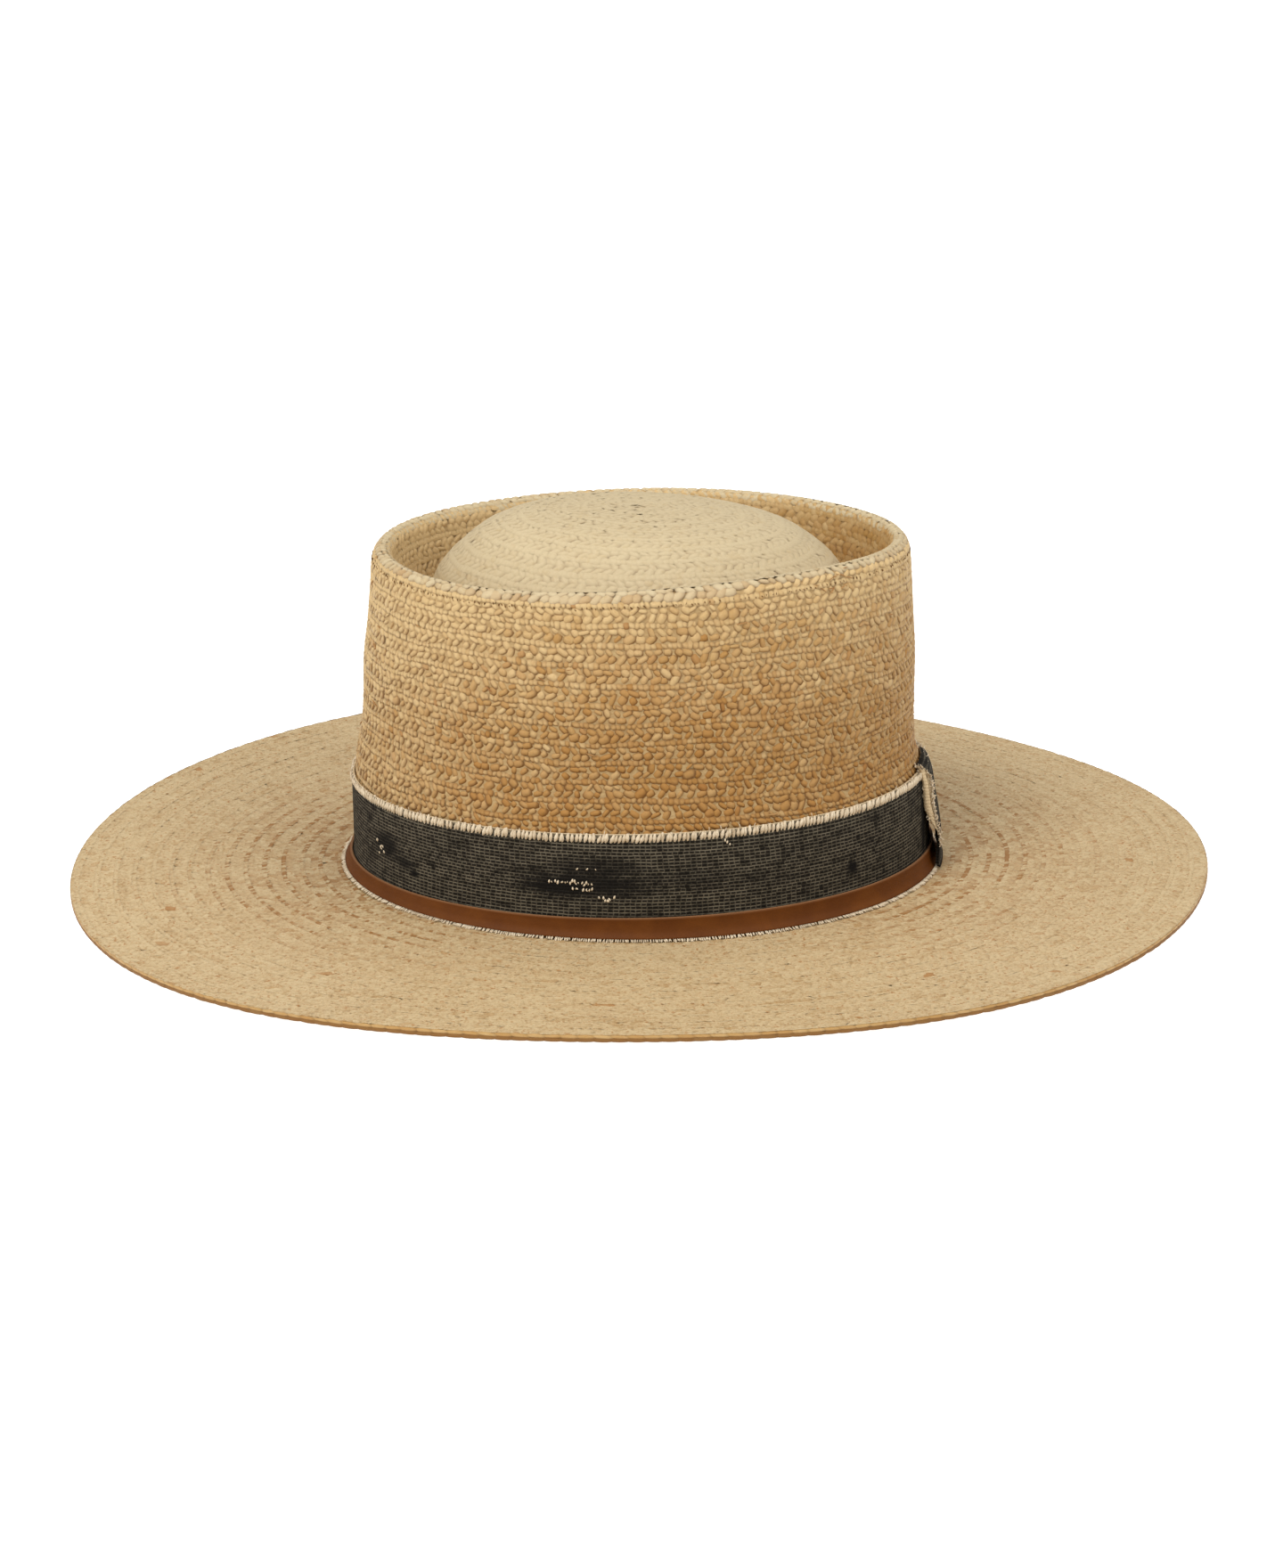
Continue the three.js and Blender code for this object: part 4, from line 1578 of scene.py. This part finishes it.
    def _fray(self, inner: Array, outer: Array, thread: bpy.types.Material) -> bpy.types.Object:
        """Short cream threads along the keeper's near and far edges and down its turned edge."""
        rng = np.random.default_rng(41)
        rows = np.sort(rng.integers(0, self.smooth_rows, 260))
        mix = rng.uniform(0.75, 1.1, len(rows))[:, None]
        near = outer[rows, 0] * mix + inner[rows, 0] * (1 - mix)
        near = near[near[:, 2] - self.form.centre[2] > self.hollow_top - 4.0]
        far_rows = rows[::2]
        far = outer[far_rows, -1] * 0.5 + inner[far_rows, -1] * 0.5
        line = self.turned_line[rng.integers(0, len(self.turned_line), 16)]
        points = np.concatenate([near, far, line])
        points[:, 2] = points[:, 2] + rng.uniform(-0.4, 0.4, len(points))
        count = len(points)
        side = np.stack([np.ones(count), rng.normal(0.1, 0.5, count), rng.normal(0.0, 0.9, count)], axis=-1)
        side[len(near) : len(near) + len(far), 0] = -1.0
        side[len(near) + len(far) :, :] = np.stack(
            [np.full(16, 0.5), rng.normal(-0.3, 0.3, 16), rng.normal(0.0, 1.0, 16)], axis=-1
        )
        sizes = {"Length": 0.95, "Thickness": 0.24, "Bend": 0.2, "Unevenness": 0.4, "Tilt": 0.4}
        return self.threads.grow("keeper_fray", points, side, thread, sizes, 15)


# Studio


@dataclass
class Studio:
    """Camera, pale floor and soft lights."""

    centre: Array
    azimuth: float = 86.0
    elevation: float = 18.05
    away: float = 1323.0
    photo_scale: float = 3.29
    roll: float = 0.19
    aside: float = -0.17
    aim_height: float = 24.65
    floor_half: float = 6000.0
    sensor: float = 36.0

    def camera(self) -> bpy.types.Object:
        """Makes the camera at the photo's angle.

        Returns:
            The camera.
        """
        turn, rise, roll = (math.radians(value) for value in (self.azimuth, self.elevation, self.roll))
        back = Vector((math.sin(turn) * math.cos(rise), -math.cos(turn) * math.cos(rise), math.sin(rise)))
        right = Vector((math.cos(turn), math.sin(turn), 0.0))
        up = back.cross(right)
        middle = [float(value) for value in self.centre]
        aim = Vector((middle[0], middle[1], middle[2] + self.aim_height)) + right * self.aside
        data = bpy.data.cameras.new("photo_camera")
        data.sensor_width = self.sensor
        data.lens = self.photo_scale * self.away * self.sensor / PHOTO_HEIGHT
        data.clip_start, data.clip_end = 0.05, 40.0
        made = bpy.data.objects.new("photo_camera", data)
        x_axis = right * math.cos(roll) - up * math.sin(roll)
        y_axis = right * math.sin(roll) + up * math.cos(roll)
        place = (aim + back * self.away) * MM
        made.matrix_world = Matrix.Translation(place) @ Matrix((x_axis, y_axis, back)).transposed().to_4x4()
        bpy.context.scene.collection.objects.link(made)
        bpy.context.scene.camera = made
        return made

    def light(
        self,
        name: str,
        place: tuple[float, float, float],
        size: float,
        power: float,
        warmth: tuple[float, float, float],
    ) -> None:
        """Adds one soft square light aimed at the hat.

        Args:
            name: its name.
            place: metres to the right, towards the camera and up, seen from the camera.
            size: metres across.
            power: watts.
            warmth: its colour.
        """
        turn = math.radians(self.azimuth)
        right = Vector((math.cos(turn), math.sin(turn), 0.0))
        near = Vector((math.sin(turn), -math.cos(turn), 0.0))
        where = right * place[0] + near * place[1] + Vector((0, 0, place[2]))
        data = bpy.data.lights.new(name, "AREA")
        data.size, data.energy, data.color = size, power, warmth
        made = bpy.data.objects.new(name, data)
        made.location = where
        made.rotation_euler = (Vector((0, 0, 0.05)) - where).to_track_quat("-Z", "Y").to_euler()
        bpy.context.scene.collection.objects.link(made)

    def build(self) -> None:
        """Makes the camera, floor, lights and pale surroundings."""
        self.camera()
        corners = ((-1, -1), (1, -1), (1, 1), (-1, 1))
        points = np.array([[x * self.floor_half, y * self.floor_half, 0.0] for x, y in corners])
        floor = mesh_object("floor", points, np.array([[0, 1, 2, 3]]), FloorFinish().material())
        self.light("key_light", (-0.8, 1.1, 2.05), 1.0, 35.0, (1.0, 0.99, 0.97))
        self.light("fill_light", (1.5, 1.2, 1.5), 1.6, 19.0, (0.99, 0.995, 1.0))
        self.light("top_light", (0.55, -0.3, 2.1), 1.5, 13.0, (1.0, 1.0, 1.0))
        self.light("side_light", (-1.7, 0.5, 0.6), 1.2, 8.0, (1.0, 1.0, 1.0))
        world = bpy.data.worlds.new("studio_air")
        world.use_nodes = True
        world.node_tree.nodes["Background"].inputs["Color"].default_value = (1.0, 1.0, 1.0, 1.0)
        world.node_tree.nodes["Background"].inputs["Strength"].default_value = 0.44
        bpy.context.scene.world = world
        bpy.context.scene.view_settings.view_transform = "Standard"


def straw_layers(form: HatForm) -> list[PlaitLayer]:
    """The plait over each part of the hat.

    Args:
        form: the hat's form.

    Returns:
        The layers, outside first.
    """
    mark = form.marks
    tip, crest, foot, edge = (mark[key] for key in ("tip", "crest", "foot", "edge"))
    fine, coarse = plait_tracks((5, 5), (4, 3), 0.03), plait_tracks((4, 3), (3, 3), 0.02)
    flat = (*plait_tracks((4, 3), (3, 3), 0.03)[:2], Track(0.9, 0.17, 1.3, 20.0, 0.6, 0.02, (3, 3), 0.0, 1.0))
    plain = tuple(Track((k + 0.5) / 3, 0.34, 3.9, (27.0, -27.0)[k % 2], 1.0, 0.0, (3, 3)) for k in range(3))
    # The lower bead is darker still by its tone and its shade: painted shade where the edge face turns under.
    bead = (Track(0.25, 0.5, 5.0, 1.0, 1.0, 0.0, (5, 4)), Track(0.75, 0.5, 5.0, 1.0, 0.8, -0.3, (5, 4), 0.68))
    shift = crest + 5.8 - 6.35 * round((crest + 5.8) / 6.35)
    rim_start, rim_end, wall_end = crest - 4.0, crest + 3.2, foot - 29.5
    row, top = {"shift": shift}, StrawKind.TOP
    return [
        PlaitLayer(
            form, "tip_plait", 0.3, tip - 6.0, 0.34, 0.12, coarse, (0.0, 0.05), 0.4, tone=0.9, spread=0.09,
            sink=0.2, cover=1.35, seed=3, uneven=1.4, wander=0.5, flecks=0.0, kind=top, **row,
        ),
        # Groove: warmer and darker towards its bottom by warmth and fade, as painted shade in the recess;
        # lighter on the left and darker on the right by bleached, as painted light and shade.
        PlaitLayer(
            form, "groove_plait", tip - 6.0, rim_start + 1.6, 0.6, 0.1, fine, (0.6, 0.1), 0.55, tone=0.72,
            spread=0.13, sink=0.24, cover=1.1, seed=5, uneven=1.3, painted_shade_drop=-0.1, painted_side_light=(0.45, -0.26), **row,
        ),
        PlaitLayer(
            form, "rim_plait", rim_start, rim_end, 0.6, 0.1, fine, (0.05, 0.5), 0.5, tone=0.94, spread=0.15,
            sink=0.24, cover=1.05, seed=6, uneven=1.3, turned=0.1, painted_shade_drop=0.06, flecks=0.0, kind=top, **row,
        ),
        # Wall: warmer and darker towards its foot by warmth, fade and onset, as painted shade and painted
        # warm bounce light for the lower wall; lighter on the left by bleached, as painted light; the painted
        # shade in its gaps eased at the top by calm.
        PlaitLayer(
            form, "wall_plait", rim_end, wall_end, 1.0, 0.1, fine, (0.1, 0.85), 1.3, tone=0.99, spread=0.2,
            sink=0.18, seed=7, uneven=1.45, turned=0.14, wander=0.9, painted_shade_drop=0.48, onset=0.4, painted_shade_easing=0.55,
            painted_side_light=(0.36, 0.1), flecks=0.012, **row,
        ),
        PlaitLayer(
            form, "brim_plait", foot + 1.6, edge + 0.6, 0.22, 0.12, flat, (0.2, 0.12), 0.3, tone=0.8,
            spread=0.12, sink=0.2, cover=1.3, seed=9, wander=0.4, ring_depth=1.25, ring_reach=42.0,
            flecks=0.004, kind=StrawKind.BRIM, **row,
        ),
        # Brim edge: its low tone is painted shade on the edge face, which turns under the brim, away from the
        # lights.
        PlaitLayer(
            form, "brim_edge_plait", 0.0, 0.0, 0.2, 0.0, bead, (0.35, 0.35), 0.6, Side.EDGE, 2.1, tone=0.42,
            spread=0.08, sink=0.1, seed=10, uneven=0.15, flecks=0.0,
        ),
        PlaitLayer(
            form, "under_brim_plait", foot + 0.5, edge - 0.4, 0.26, 0.12, plain, (0.3, 0.2), 0.5, Side.INNER,
            tone=0.55, spread=0.14, sink=0.05, seed=11, **row,
        ),
        PlaitLayer(
            form, "inside_plait", 0.3, foot - 0.5, 0.3, 0.14, plain, (0.25, 0.4), 0.6, Side.INNER, tone=0.5,
            spread=0.15, sink=0.05, seed=13, **row,
        ),
    ]


@dataclass
class StrawEnds:
    """Dark stitches under the rim's first row and loose ends of straw that stand off the plait."""

    form: HatForm
    threads: ThreadTree
    stitch_pitch: float = 1.5
    rim_row: float = 5.8
    dark: Colour = (0.085, 0.04, 0.014, 1.0)
    brown: Colour = (0.17, 0.085, 0.03, 1.0)
    red: Colour = (0.24, 0.085, 0.024, 1.0)
    gold: Colour = (0.42, 0.25, 0.10, 1.0)

    def stitches(self) -> bpy.types.Object:
        """Makes the stitches, one line round the crown."""
        rng = np.random.default_rng(51)
        angle = np.linspace(0, TURN, 2000)
        line = np.full(2000, self.form.marks["crest"] + self.rim_row + 0.1)
        ring = self.form.raised(line, angle, np.zeros(2000))
        run = running_length(ring)
        count = int(run[-1] / self.stitch_pitch)
        at = np.interp((np.arange(count) + rng.normal(0, 0.2, count)) * run[-1] / count, run, angle)
        at = at[rng.random(count) < 0.85]
        low = np.full(len(at), line[0]) + rng.normal(0, 0.18, len(at))
        lift = np.full(len(at), 0.05)
        points = self.form.raised(low, at, lift)
        stand = points - self.form.raised(low + 0.8, at + rng.normal(0.004, 0.004, len(at)), lift)
        finish = ThreadFinish("dark_stitch", self.brown, self.dark).material()
        sizes = {"Length": 0.75, "Thickness": 0.19, "Bend": 0.05, "Unevenness": 0.35, "Tilt": 0.3}
        made = self.threads.grow("rim_stitches", points, stand, finish, sizes, 19)
        return made

    def loose(self) -> bpy.types.Object:
        """Makes the loose ends, most of them over the wall and a few close together at the rim."""
        rng = np.random.default_rng(57)
        crest, foot = self.form.marks["crest"], self.form.marks["foot"]
        angle = np.concatenate([rng.uniform(0, TURN, 90), np.radians(rng.normal(41.0, 3.2, 12))])
        distance = np.concatenate([rng.uniform(crest + 7, foot - 33, 90), crest + rng.normal(4.5, 2.4, 12)])
        flat = np.zeros(len(angle))
        points = self.form.raised(distance, angle, flat - 0.05)
        lean = rng.normal(0.0, 1.2, len(angle))
        ahead = self.form.raised(distance + lean, angle + 0.03 * rng.choice([-1.0, 1.0], len(angle)), flat)
        stand = ahead - points + 0.2 * self.form.normal(distance, angle)
        finish = ThreadFinish("loose_straw", self.gold, self.red).material()
        sizes = {"Length": 2.6, "Thickness": 0.2, "Bend": 0.35, "Unevenness": 0.5, "Tilt": 0.15}
        made = self.threads.grow("loose_straw_ends", points, stand, finish, sizes, 21)
        return made


def main() -> None:
    """Builds the hat's pieces in order and reports each one."""
    logging.basicConfig(level=logging.INFO, format="%(name)s: %(message)s")
    form = HatForm()
    Studio(form.centre).build()
    log.info("studio ready")
    StrawShell(form).build(ShellFinish().material())
    log.info("straw shell: profile %.1f mm", form.marks["edge"])
    strands = {kind: kind.value.material() for kind in StrawKind}
    for layer in straw_layers(form):
        layer.build(strands[layer.kind])
    threads = ThreadTree().make()
    ends = StrawEnds(form, threads)
    ends.stitches()
    ends.loose()
    cream = ThreadFinish().material()
    ribbon = Ribbon(form, threads)
    ribbon.build(RibbonFinish("ribbon_weave", worn=ribbon.wear_and_shade_places()).material(), cream)
    log.info("ribbon: girth %.1f mm", ribbon.along(ribbon.join - 0.001))
    LeatherStrip(form).build(LeatherFinish().material())
    log.info("leather strip")
    Keeper(form, threads).build(RibbonFinish("keeper_weave", worn=Keeper.wear_and_shade_places()).material(), cream)
    log.info("keeper")


if __name__ == "__main__":
    main()
